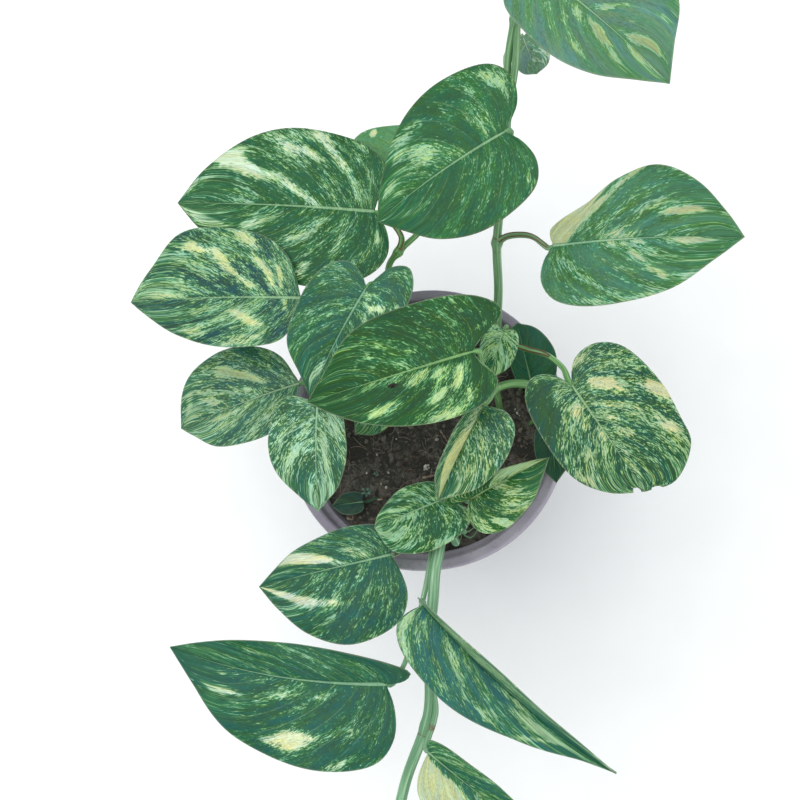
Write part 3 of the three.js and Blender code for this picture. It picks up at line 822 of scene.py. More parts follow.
@dataclass(frozen=True)
class Leaf:
    """One blade, from where its stalk joins it to its tip."""

    name: str
    base: Point
    tip: Point
    left: Half
    right: Half
    arch: float = 0.05
    bow: float = 0.0
    phase: float = 0.0
    small: bool = False
    finish: LeafFinish = LeafFinish()
    slot: Slot = Slot.LEAF
    patches: tuple[Patch, ...] = ()
    tears: tuple[Tear, ...] = ()

    CELLS = (60, 18)
    FEW_CELLS = (30, 11)
    FOOT_POWER = 2.2
    SHARE_POWER = 1.25
    WAVE = 0.018
    WAVES = 2.5
    WAVE_SHIFT = 0.4
    THICKNESS = 0.6
    QUILT = 0.1
    QUILT_SPAN = 14
    RIB = 0.4
    RIB_REACH = 1.3
    RIB_FADING = 0.7
    RIB_SWELL = 0.5
    SHARP = 50.0
    SEAM = 2e-6
    TIGHT_SEAM = 1e-7
    ON_LINE = 1e-6
    ON_RIB = 1e-4

    @property
    def length(self) -> float:
        """The blade's length from base to tip in millimetres."""
        return (Vector(self.tip) - Vector(self.base)).length

    def axes(self) -> tuple[Vector, Vector, Vector]:
        """The blade's directions: along it, across it to the left, and out of its face."""
        along = (Vector(self.tip) - Vector(self.base)).normalized()
        across = Vector((0, 0, 1)).cross(along).normalized()
        return along, across, along.cross(across)

    def join_points(self, stop: float) -> list[Vector]:
        """The last two points of the stalk, which comes from below and behind.

        Args:
            stop: How far before the base the stalk ends.

        Returns:
            The two points in millimetres.
        """
        fall, trail, run_up = -0.8, 0.6, 3.5
        along, _, facing = self.axes()
        back = facing * fall - along * trail
        return [Vector(self.base) + back * (stop + run_up), Vector(self.base) + back * stop]

    def place(self, station: float, share: float, side: int, edge: Vector) -> Vector:
        """A point of the blade's middle surface.

        Args:
            station: How far along the margin the point's vein ends.
            share: How far out the point lies, from the midrib to the margin.
            side: The half that it lies on.
            edge: The margin's point at the station.

        Returns:
            The point in millimetres.
        """
        along, across, facing = self.axes()
        half = self.left if side > 0 else self.right
        foot = station**self.FOOT_POWER
        u = foot + (edge.x - foot) * share
        v = edge.y * share
        spine = 4 * self.bow * foot * (1 - foot) * (1 - share)
        fold = radians(half.fold)
        turn = self.WAVES * station + self.phase + (0.0 if side > 0 else self.WAVE_SHIFT)
        ripple = self.WAVE * share**2 * sin(pi * station) * sin(2 * pi * turn)
        spine_rise = 4 * self.arch * u * (1 - u) if u > 0 else 4 * self.arch * u
        rise = spine_rise + v * sin(fold) + half.curl * v * v + ripple
        sideways = side * v * cos(fold) + spine
        size = self.length
        flat = Vector(self.base) + along * (u * size) + across * (sideways * size)
        return flat + facing * (rise * size)

    def build(self, seed: float) -> Object:
        """Build the blade with its midrib, side veins, marks and thickness.

        Args:
            seed: What tells its marbling from the other blades'.

        Returns:
            The blade's object.
        """
        rib_root, rib_taper, least_rib, usual_size = 1.05, 0.8, 0.5, 160
        stations, shares = self.FEW_CELLS if self.small else self.CELLS
        margins = {LEFT: self.left.margin(), RIGHT: self.right.margin()}
        facing, size = self.axes()[2], self.length
        bm = bmesh.new()
        veins = bm.verts.layers.float_vector.new("vein")
        marks = bm.verts.layers.float_vector.new("mark")
        bmesh.ops.create_grid(bm, x_segments=stations, y_segments=2 * shares, size=1)
        edges: dict[tuple[int, float], Vector] = {}
        for vert in bm.verts:
            station = round((vert.co.x + 1) / 2, 5)
            share = abs(vert.co.y) ** self.SHARE_POWER
            side = RIGHT if vert.co.y < -self.ON_LINE else LEFT
            if (side, station) not in edges:
                edges[side, station] = margins[side].at(station)
            edge = edges[side, station]
            foot = station**self.FOOT_POWER
            span = Vector((edge.x - foot, edge.y, 0)).length * size
            vein = station - VEIN_SWEEP * share**VEIN_BEND
            half = side if share > self.ON_RIB else 0
            quilt = -4 * share * (1 - share) * cos(2 * pi * VEIN_COUNT * vein) * self.QUILT
            groove = exp(-((span * share / self.RIB_REACH) ** 2))
            rib = self.RIB * groove * (1 - self.RIB_FADING * foot)
            vert[veins] = (vein, side * share * span, share)
            rib_width = (rib_root - rib_taper * foot) * (least_rib + size / usual_size)
            tone = sum(patch.at(half, vein, share) for patch in self.patches)
            vert[marks] = (tone, share * span / rib_width, 0)
            lift = facing * (quilt * min(1, span / self.QUILT_SPAN) - rib)
            vert.co = (self.place(station, share, side, edge) + lift) * MM
        self._open(bm, margins)
        bmesh.ops.remove_doubles(bm, verts=bm.verts, dist=self.SEAM)
        self._thicken(bm, marks)
        half_margin = (margins[LEFT].length + margins[RIGHT].length) / 2 * size
        material = self.finish.material(self.name, half_margin, seed)
        return make_piece(self.name, bm, material, [self.name], self.SHARP)

    def _open(self, bm: BMesh, margins: dict[int, Spline]) -> None:
        """Take out the skin where the blade is torn.

        Args:
            bm: The blade's sheet, in metres.
            margins: The margin of each half.
        """
        along, across, _ = self.axes()
        for tear in self.tears:
            edge = margins[tear.side].at(tear.station)
            middle = self.place(tear.station, tear.share, tear.side, edge)
            turn, (long, wide) = radians(tear.turn), tear.reach
            first = (along * cos(turn) + across * sin(turn)) / long
            second = (across * cos(turn) - along * sin(turn)) / wide
            depth = partial(self._depth, middle, first, second)
            near = {edge for face in bm.faces if depth(face.calc_center_median()) < tear.NEAR
                    for edge in face.edges}
            bmesh.ops.subdivide_edges(bm, edges=list(near), cuts=tear.CUTS, use_grid_fill=True)
            gone = {face for face in bm.faces if depth(face.calc_center_median()) < 1}
            rim = {vert for face in gone for vert in face.verts
                   if not gone.issuperset(vert.link_faces)}
            bmesh.ops.delete(bm, geom=list(gone), context="FACES")
            for vert in rim:
                gap = vert.co / MM - middle
                flat = first * gap.dot(first) * long**2 + second * gap.dot(second) * wide**2
                ragged = 1 + tear.RAGGED * noise.noise(vert.co / MM * tear.RAGGED_SIZE)
                vert.co += flat * (ragged / max(depth(vert.co), tear.LEAST_DEPTH) - 1) * MM

    @staticmethod
    def _depth(middle: Vector, first: Vector, second: Vector, point: Vector) -> float:
        """How far a point lies from a tear's middle, 1 on its edge.

        Args:
            middle: The tear's middle in millimetres.
            first: Its long direction, over its reach.
            second: Its short direction, over its reach.
            point: The point in metres.

        Returns:
            The distance in parts of the tear's reach.
        """
        gap = point / MM - middle
        return (gap.dot(first) ** 2 + gap.dot(second) ** 2) ** 0.5

    def _thicken(self, bm: BMesh, marks: BMLayerItem) -> None:
        """Give the sheet its thickness and mark its underside.

        Args:
            bm: The blade's sheet.
            marks: The layer that holds the marks.
        """
        outward = bm.verts.layers.float_vector.new("outward")
        bm.normal_update()
        for vert in bm.verts:
            vert[outward] = vert.normal
        sheet = bm.verts[:] + bm.edges[:] + bm.faces[:]
        rim = [edge for edge in bm.edges if edge.is_boundary]
        wall = bmesh.ops.extrude_edge_only(bm, edges=rim)["geom"]
        under = bmesh.ops.duplicate(bm, geom=sheet)["geom"]
        bmesh.ops.reverse_faces(bm, faces=[item for item in under if isinstance(item, BMFace)])
        lower = [item for item in wall + under if isinstance(item, BMVert)]
        for vert in lower:
            tone, rib, _ = vert[marks]
            vert[marks] = (tone, rib, 1.0)
        bmesh.ops.remove_doubles(bm, verts=lower, dist=self.TIGHT_SEAM)
        for vert in bm.verts:
            _, rib, back = vert[marks]
            swell = exp(-(rib**2)) * self.RIB_SWELL if back else 0.0
            vert.co += Vector(vert[outward]) * ((0.5 - back) * self.THICKNESS - swell) * MM
        bmesh.ops.recalc_face_normals(bm, faces=bm.faces)


class Tube:
    """Builds round stems and fibres ring by ring into one mesh."""

    UNEVEN = 0.6
    TWIST = 0.02

    def __init__(self, bm: BMesh) -> None:
        """Keep the mesh and its layers.

        Args:
            bm: The mesh that the tubes go into.
        """
        layers = bm.verts.layers
        self.bm = bm
        self.wrap = layers.float_vector.new("wrap")
        self.scar = layers.float.new("scar")

    def run(self, path: Sequence[Sequence[float]], radius: Gauge, sides: int, step: float,
            scar: Gauge = steady(0.0), ridges: float = 0.0) -> None:
        """Build one closed tube along a path.

        Args:
            path: The points that it follows, in millimetres.
            radius: Gives its radius at a length and a centre.
            sides: How many sides it has.
            step: The length of one ring.
            scar: Gives how dry its skin is at a length and a centre.
            ridges: How strongly it is ribbed lengthwise.
        """
        line = Spline(path)
        steps = max(4, round(line.length / step))
        centres = [line.at(index / steps) for index in range(steps + 1)]
        tangent = (centres[1] - centres[0]).normalized()
        normal = tangent.orthogonal().normalized()
        made = bmesh.ops.create_circle(self.bm, cap_ends=True, segments=sides, radius=1)
        verts = made["verts"]
        for vert in verts:
            vert[self.wrap] = (vert.co.x, vert.co.y, 0)
        edges = list({edge for vert in verts for edge in vert.link_edges})
        for index, centre in enumerate(centres):
            if index:
                ahead = (centres[min(index + 1, steps)] - centres[index - 1]).normalized()
                normal = (tangent.rotation_difference(ahead) @ normal).normalized()
                tangent = ahead
                made = bmesh.ops.extrude_edge_only(self.bm, edges=edges)
                verts = [item for item in made["geom"] if isinstance(item, BMVert)]
                edges = [edge for edge in {e for v in verts for e in v.link_edges}
                         if edge.verts[0] in verts and edge.verts[1] in verts]
            along, other = line.length * index / steps, tangent.cross(normal)
            size, dry = radius(along, centre), scar(along, centre)
            for vert in verts:
                x, y, _ = vert[self.wrap]
                even = 4 * x**3 - 3 * x
                uneven = self.UNEVEN * sin(5 * y + centres[0].x + self.TWIST * along)
                spoke = size * (1 + ridges * (even + uneven))
                vert.co = (centre + (normal * x + other * y) * spoke) * MM
                vert[self.wrap] = (x, y, along)
                vert[self.scar] = dry
        bmesh.ops.edgeloop_fill(self.bm, edges=edges)


@dataclass(frozen=True)
class Branch:
    """A stem or a leaf stalk, tapering from its foot to its end, and the span of its sheath."""

    path: tuple[Point, ...]
    radii: tuple[float, float]
    blade: str = ""
    sheath: tuple[float, float] = (0.0, 0.0)


@dataclass(frozen=True)
class Extra:
    """A root stub, a dry sheath tip or a loose strand on a stem."""

    path: tuple[Point, ...]
    radii: tuple[float, float]
    dry: float = 0.0


@dataclass(frozen=True)
class Vine:
    """A stem with its leaf stalks, its swollen joints and what grows on it."""

    name: str
    branches: tuple[Branch, ...]
    joints: tuple[tuple[Point, float], ...] = ()
    extras: tuple[Extra, ...] = ()
    finish: StemFinish = StemFinish()

    STEP = 1.5
    STUB_STEP = 0.5
    STUB_LENGTH = 40.0
    THICK = 1.9
    THICK_SIDES = 18
    SIDES = 14
    RIDGES = 0.035
    EXTRA_SIDES = 8
    EXTRA_STEP = 0.7
    SHEATH_STEPS = 8

    def build(self, leaves: dict[str, Leaf]) -> Object:
        """Build the stem.

        Args:
            leaves: The blades by name.

        Returns:
            The stem's object.
        """
        bm = bmesh.new()
        tube = Tube(bm)
        for branch in self.branches:
            path = list(branch.path)
            if branch.blade:
                path += leaves[branch.blade].join_points(STALK_STOP)
            length = Spline(path).length
            stub = not branch.blade and length < self.STUB_LENGTH
            radius = partial(self._radius, branch, length, stub)
            sides = self.THICK_SIDES if branch.radii[0] > self.THICK else self.SIDES
            step = self.STUB_STEP if stub else self.STEP
            tube.run(path, radius, sides, step, self._dryness, self.RIDGES)
            if branch.sheath[1]:
                self._sheathe(tube, path, branch)
        for extra in self.extras:
            radius = partial(taper, extra.radii, Spline(extra.path).length)
            tube.run(extra.path, radius, self.EXTRA_SIDES, self.EXTRA_STEP, steady(extra.dry))
        bmesh.ops.recalc_face_normals(bm, faces=bm.faces)
        return make_piece(self.name, bm, self.finish.material(self.name), [self.name])

    def _radius(self, branch: Branch, length: float, stub: bool, along: float,
                centre: Vector) -> float:
        """Read a branch's radius with its joints, its cut end and the knee below its blade.

        Args:
            branch: The branch.
            length: Its whole length.
            stub: Whether it ends short and rounded.
            along: The length up to the place.
            centre: The place.

        Returns:
            The radius there.
        """
        knot_core, knot_reach, knee_size, knee_place, knee_width = 0.92, 0.75, 0.22, 6, 3.2
        least_end, end_size, end_slope = 0.05, 0.55, 0.5
        size, left = taper(branch.radii, length, along, centre), length - along
        for place, knot in self.joints:
            gap = (centre - Vector(place)).length
            swell = max(knot * knot_core - size, 0)
            size += swell * exp(-((gap / (knot * knot_reach)) ** 2))
        if stub:
            size *= max(1 - max(1 - left / branch.radii[1], 0) ** 2, least_end) ** 0.5
        if branch.blade:
            size *= 1 + knee_size * exp(-(((left - knee_place) / knee_width) ** 2))
            size *= min(1.0, end_size + left * end_slope)
        return size

    def _dryness(self, _along: float, centre: Vector) -> float:
        """Read how dry the skin is, in a ring beside each joint.

        Args:
            _along: The length up to the place, which makes no difference.
            centre: The place.

        Returns:
            The dryness there.
        """
        ring_reach, ring_width, ring_dryness = 1.15, 0.7, 0.8
        gaps = (((centre - Vector(place)).length - knot * ring_reach) / ring_width
                for place, knot in self.joints)
        return max((exp(-(gap**2)) * ring_dryness for gap in gaps), default=0.0)

    def _sheathe(self, tube: Tube, path: Sequence[Sequence[float]], branch: Branch) -> None:
        """Lay the two dry edges of a sheath along a stalk.

        Args:
            tube: Builds the edges.
            path: The stalk's path.
            branch: The stalk.
        """
        look_ahead, spread_start, spread_loss, rise = 0.02, 0.75, 0.6, 0.05
        thick, sides, step = 0.34, 6, 1.2
        line, (start, end) = Spline(path), branch.sheath
        for side in (-1, 1):
            points = []
            for index in range(self.SHEATH_STEPS + 1):
                share = start + (end - start) * index / self.SHEATH_STEPS
                centre = line.at(share)
                tangent = (line.at(share + look_ahead) - centre).normalized()
                over = tangent.cross(Vector((0, 0, 1)).cross(tangent)).normalized()
                spread = spread_start * (1 - spread_loss * (index / self.SHEATH_STEPS) ** 4)
                outward = over * cos(spread) + tangent.cross(over) * sin(spread) * side
                points.append(centre + outward * (taper(branch.radii, 1, share, centre) + rise))
            tube.run(points, steady(thick), sides, step, steady(1.0))


@dataclass
class Pot:
    """The thin nursery pot with its rolled lip, inner step, foot and drain holes."""

    steps: int = 160
    drains: int = 8
    drain_radius: float = 4.0
    drain_ring: float = 33.0
    drill_middle: float = 4.0
    drill_length: float = 6.0
    bevel: float = 0.35
    bevel_angle: float = 28.0
    sharp: float = 35.0
    seam: float = 1e-6
    drill_sides: int = 32
    finish: PotFinish = PotFinish()

    def profile(self) -> list[tuple[float, float]]:
        """The sheet's outline as radius and height, from the foot round the lip and back."""
        return [
            (0, 0), (PAD_RADIUS, 0), (PAD_RADIUS + 2, FOOT_RECESS),
            (BASE_RADIUS - 6, FOOT_RECESS), (BASE_RADIUS - 4, 0), (BASE_RADIUS - 1, 0),
            (BASE_RADIUS, 1), (WALL_INNER + SHEET, LEDGE_TOP - SHEET),
            (LEDGE_OUTER + SHEET, LEDGE_TOP - SHEET), (INNER_LIP + SHEET, POT_HEIGHT - 2),
            (RIM_RADIUS - SHEET, POT_HEIGHT - 2), (RIM_RADIUS - SHEET - 1, SKIRT_END),
            (RIM_RADIUS - 1, SKIRT_END), (RIM_RADIUS, POT_HEIGHT - 1.6),
            (RIM_RADIUS - 0.7, POT_HEIGHT - 0.4), (RIM_RADIUS - 2, POT_HEIGHT),
            (INNER_LIP + 1, POT_HEIGHT), (INNER_LIP, POT_HEIGHT - 0.8),
            (LEDGE_OUTER, LEDGE_TOP), (WALL_INNER + 0.5, LEDGE_TOP), (WALL_INNER, LEDGE_CORNER),
            (BASE_RADIUS - SHEET, FLOOR_TOP), (PAD_RADIUS + 1, FLOOR_TOP),
            (PAD_RADIUS - 1, FLOOR_TOP - FOOT_RECESS), (0, FLOOR_TOP - FOOT_RECESS),
        ]

    def build(self) -> Object:
        """Turn the pot and open its drain holes.

        Returns:
            The pot's object.
        """
        bm = bmesh.new()
        verts = [bm.verts.new((radius * MM, 0, height * MM)) for radius, height in self.profile()]
        edges = [bm.edges.new(pair) for pair in zip(verts, verts[1:])]
        bmesh.ops.spin(bm, geom=verts + edges, cent=(0, 0, 0), axis=(0, 0, 1), angle=2 * pi,
                       steps=self.steps, use_merge=True)
        bmesh.ops.remove_doubles(bm, verts=bm.verts, dist=self.seam)
        bmesh.ops.recalc_face_normals(bm, faces=bm.faces)
        material = self.finish.material("pot_plastic")
        piece = make_piece("pot_body", bm, material, ["pot"], self.sharp)
        self._drill(piece)
        bevel = piece.modifiers.new("rounded_edges", "BEVEL")
        bevel.width, bevel.segments, bevel.limit_method = self.bevel * MM, 2, "ANGLE"
        bevel.angle_limit, bevel.use_clamp_overlap = radians(self.bevel_angle), True
        return piece

    def _drill(self, piece: Object) -> None:
        """Cut the drain holes out of the floor.

        Args:
            piece: The pot.
        """
        bm = bmesh.new()
        radius, depth = self.drain_radius * MM, self.drill_length * MM
        for index in range(self.drains):
            angle = 2 * pi * (index + 0.5) / self.drains
            place = Matrix.Translation((cos(angle) * self.drain_ring * MM,
                                        sin(angle) * self.drain_ring * MM, self.drill_middle * MM))
            bmesh.ops.create_cone(bm, cap_ends=True, segments=self.drill_sides, radius1=radius,
                                  radius2=radius, depth=depth, matrix=place)
        mesh = bpy.data.meshes.new("drain_cutter")
        bm.to_mesh(mesh)
        bm.free()
        cutter = bpy.data.objects.new("drain_cutter", mesh)
        bpy.context.scene.collection.objects.link(cutter)
        boolean = piece.modifiers.new("drains", "BOOLEAN")
        boolean.operation, boolean.solver, boolean.object = "DIFFERENCE", "EXACT", cutter
        graph = bpy.context.evaluated_depsgraph_get()
        holed = bpy.data.meshes.new_from_object(piece.evaluated_get(graph))
        piece.modifiers.clear()
        piece.data = holed
        bpy.data.objects.remove(cutter)


def soil_height(x: float, y: float) -> float:
    """The soil's height above the pot's underside at a place.

    Args:
        x: The place's first coordinate in millimetres.
        y: Its second coordinate.

    Returns:
        The height in millimetres.
    """
    waves = sin(0.41 * x + 0.23 * y) + sin(0.17 * x - 0.37 * y + 1.3)
    rough = 0.5 * waves * cos(0.29 * x + 0.11 * y + 0.6)
    clods = sum(noise.noise(Vector((x, y, layer)) / size) * rise for layer, size, rise in CLODS)
    return SOIL_TOP + SOIL_ROUGHNESS * rough + clods


def placed(x: float, y: float, rise: float) -> Matrix:
    """Stand a small thing, built in millimetres, on the soil with its middle that much above it."""
    return Matrix.Scale(MM, 4) @ Matrix.Translation((x, y, soil_height(x, y) + rise))


@dataclass
class Soil:
    """Dark potting mix with crumbs, stones, perlite, fibres, twigs and seedlings.

    Crumbs, perlite and stones are lumps with a place and a radius. The flatness is how high a
    lump is against its width.
    """

    radius: float = 65.2
    cells: int = 130
    crumbs: int = 1700
    grains: int = 12
    fibres: int = 420
    seed: int = 7
    perlite: tuple[Point, ...] = ()
    stones: tuple[Point, ...] = ()
    twigs: tuple[tuple[tuple[float, float], tuple[float, float], float], ...] = ()
    seedlings: tuple[Point, ...] = ()
    crumb_flatness: float = 0.55
    grain_flatness: float = 0.8
    stone_flatness: float = 0.7
    sharp: float = 60.0
    mix: EarthFinish = EarthFinish()
    white: EarthFinish = EarthFinish((176, 174, 166), (232, 230, 222), 0.9, 900, 0.3)
    grey: EarthFinish = EarthFinish((92, 84, 78), (142, 132, 122), 0.9, 700, 0.3)
    fibre: EarthFinish = EarthFinish((104, 66, 54), (160, 148, 132), 0.85, 500, 0.2)
    bark: EarthFinish = EarthFinish((128, 110, 98), (186, 168, 150), 0.85, 500, 0.3)
    sprout: EarthFinish = EarthFinish((56, 96, 88), (122, 156, 140), 0.6, 900, 0.1)

    def build(self) -> None:
        """Build the soil and everything that lies on it."""
        grain_least, grain_most, crumb_edge = 0.35, 0.7, 0.985
        crumb_least, crumb_more, crumb_rarity = 0.4, 1.3, 2.5
        rng = Random(self.seed)
        grains = tuple((*self._spot(rng), rng.uniform(grain_least, grain_most))
                       for _ in range(self.grains))
        self._bed()
        crumbs = [(*self._spot(rng, crumb_edge),
                   crumb_least + crumb_more * rng.random() ** crumb_rarity)
                  for _ in range(self.crumbs)]
        self._scatter("soil_crumbs", rng, crumbs, self.crumb_flatness, self.mix)
        self._scatter("soil_perlite", rng, self.perlite + grains, self.grain_flatness, self.white)
        self._scatter("soil_stones", rng, self.stones, self.stone_flatness, self.grey)
        self._fibres(rng)
        self._twigs()
        self._seedlings(rng)

    def _bed(self) -> None:
        """Build the soil's body: its rough top, its side against the wall and its bottom."""
        patch_size, patch_shade, foot_margin, pad_margin, pad_recess = 9, 0.35, 0.5, 0.6, 1.4
        bm = bmesh.new()
        shade = bm.verts.layers.float.new("shade")
        bmesh.ops.create_grid(bm, x_segments=self.cells, y_segments=self.cells, size=1)
        for vert in bm.verts:
            x, y, _ = vert.co
            x, y = x * (1 - y * y / 2) ** 0.5, y * (1 - x * x / 2) ** 0.5
            x, y = x * self.radius, y * self.radius
            vert.co = Vector((x, y, soil_height(x, y))) * MM
            vert[shade] = noise.noise(Vector((x, y, 30)) / patch_size) * patch_shade
        rim = [edge for edge in bm.edges if edge.is_boundary]
        slope = (WALL_INNER - BASE_RADIUS + SHEET) / (LEDGE_CORNER - FLOOR_TOP)
        bottom = BASE_RADIUS - SHEET + slope * SOIL_GAP - foot_margin
        floor_level = FLOOR_TOP + SOIL_GAP
        pad_level = FLOOR_TOP - FOOT_RECESS + SOIL_GAP
        for radius, height in ((bottom, floor_level), (PAD_RADIUS + pad_margin, floor_level),
                               (PAD_RADIUS - pad_recess, pad_level)):
            made = bmesh.ops.extrude_edge_only(bm, edges=rim)["geom"]
            rim = [item for item in made if isinstance(item, BMEdge) and item.is_boundary]
            for vert in (item for item in made if isinstance(item, BMVert)):
                flat = Vector((vert.co.x, vert.co.y, 0)).normalized()
                vert.co = (flat * radius + Vector((0, 0, height))) * MM
        bmesh.ops.edgeloop_fill(bm, edges=rim)
        bmesh.ops.recalc_face_normals(bm, faces=bm.faces)
        material = self.mix.material("potting_mix")
        make_piece("soil_bed", bm, material, ["soil"], self.sharp)

    def _spot(self, rng: Random, edge: float = 1.0) -> tuple[float, float]:
        """Pick a place in millimetres within a part of the soil's radius."""
        reach, angle = self.radius * edge * rng.random() ** 0.5, rng.uniform(0, 2 * pi)
        return reach * cos(angle), reach * sin(angle)

    def _scatter(self, name: str, rng: Random, spots: Sequence[Point], flat: float,
                 finish: EarthFinish) -> None:
        """Lay uneven lumps on the soil.

        Args:
            name: The piece's name.
            rng: The source of chance.
            spots: Where each lump lies and its radius, in millimetres.
            flat: How high a lump is against its width.
            finish: Their finish.
        """
        jitter, tilt, shades, sunk, stretch, sharp = 0.22, 0.5, 0.35, 0.35, (0.8, 1.4), 25
        bm = bmesh.new()
        shade = bm.verts.layers.float.new("shade")
        for x, y, size in spots:
            turn = Matrix.Rotation(rng.uniform(0, 2 * pi), 4, "Z")
            turn = turn @ Matrix.Rotation(rng.uniform(-tilt, tilt), 4, "X")
            spread = Matrix.Diagonal((size * rng.uniform(*stretch), size, size * flat, 1))
            matrix = placed(x, y, size * flat * sunk) @ turn @ spread
            lump = bmesh.ops.create_icosphere(bm, subdivisions=1, radius=1, matrix=matrix)["verts"]
            tone = rng.uniform(-shades, shades)
            for vert in lump:
                vert.co += Vector([rng.uniform(-jitter, jitter) * size * MM for _ in range(3)])
                vert[shade] = tone
        make_piece(name, bm, finish.material(name), [], sharp)

    def _fibres(self, rng: Random) -> None:
        """Lay fine bent fibres on the soil, from pale to reddish.

        Args:
            rng: The source of chance.
        """
        edge, lengths, radii, bends, wobble = 0.93, (2.5, 10), (0.06, 0.15), 0.5, 0.35
        clearance, lift, pieces, rings, sides = 0.3, 0.7, 4, 6, 4
        shades = (-0.5, -0.2, 0.1, 0.4, 0.6)
        bm = bmesh.new()
        shade = bm.verts.layers.float.new("shade")
        tube = Tube(bm)
        for _ in range(self.fibres):
            x, y = self._spot(rng, edge)
            heading, length = rng.uniform(0, 2 * pi), rng.uniform(*lengths)
            thick, bend = rng.uniform(*radii), rng.uniform(-bends, bends)
            points = []
            for _ in range(pieces + 1):
                height = soil_height(x, y) + clearance + thick + rng.uniform(0, lift)
                points.append((x, y, height))
                heading += bend + rng.uniform(-wobble, wobble)
                x, y = x + cos(heading) * length / pieces, y + sin(heading) * length / pieces
            before = len(bm.verts)
            tube.run(points, steady(thick), sides, length / rings)
            bm.verts.ensure_lookup_table()
            tone = rng.choice(shades)
            for vert in bm.verts[before:]:
                vert[shade] = tone
        bmesh.ops.recalc_face_normals(bm, faces=bm.faces)
        make_piece("soil_fibres", bm, self.fibre.material("soil_fibres"), [], self.sharp)

    def _twigs(self) -> None:
        """Lay the twigs and flakes of bark on the soil."""
        stops, clearance, sides, step, ridges = (0.0, 0.35, 0.7, 1.0), 0.8, 7, 0.6, 0.12
        thinnest, lumps, lump_rate = 0.8, 0.3, 1.7
        bm = bmesh.new()
        tube = Tube(bm)
        for start, end, thick in self.twigs:
            points = []
            for stop in stops:
                x, y = (a + (b - a) * stop for a, b in zip(start, end))
                points.append((x, y, soil_height(x, y) + clearance + thick))
            tube.run(points, lambda along, centre, r=thick: r * (
                thinnest + lumps * sin(along * lump_rate)), sides, step, ridges=ridges)
        bmesh.ops.recalc_face_normals(bm, faces=bm.faces)
        make_piece("soil_twigs", bm, self.bark.material("soil_twigs"), [], self.sharp)

    def _seedlings(self, rng: Random) -> None:
        """Stand the small blue-green seedlings in the soil.

        Args:
            rng: The source of chance.
        """
        blades, rise, turn_step, wobble, tilts = 6, 1.4, 2.4, 0.3, (-0.7, -0.2)
        reaches, long, wide, thick, shades = (0.5, 1.0), 0.5, 0.27, 0.12, 0.3
        bm = bmesh.new()
        shade = bm.verts.layers.float.new("shade")
        for x, y, size in self.seedlings:
            for index in range(blades):
                reach = size * rng.uniform(*reaches)
                turn = Matrix.Rotation(
                    index * turn_step + rng.uniform(-wobble, wobble), 4, "Z")
                tilt = Matrix.Rotation(rng.uniform(*tilts), 4, "Y")
                spread = Matrix.Diagonal((size * long, size * wide, thick, 1))
                shape = Matrix.Translation((reach, 0, 0)) @ spread
                matrix = placed(x, y, rise) @ turn @ tilt @ shape
                blade = bmesh.ops.create_icosphere(bm, subdivisions=2, radius=1, matrix=matrix)
                for vert in blade["verts"]:
                    vert[shade] = shades * index / blades
        make_piece("seedlings", bm, self.sprout.material("seedlings"), [], self.sharp)


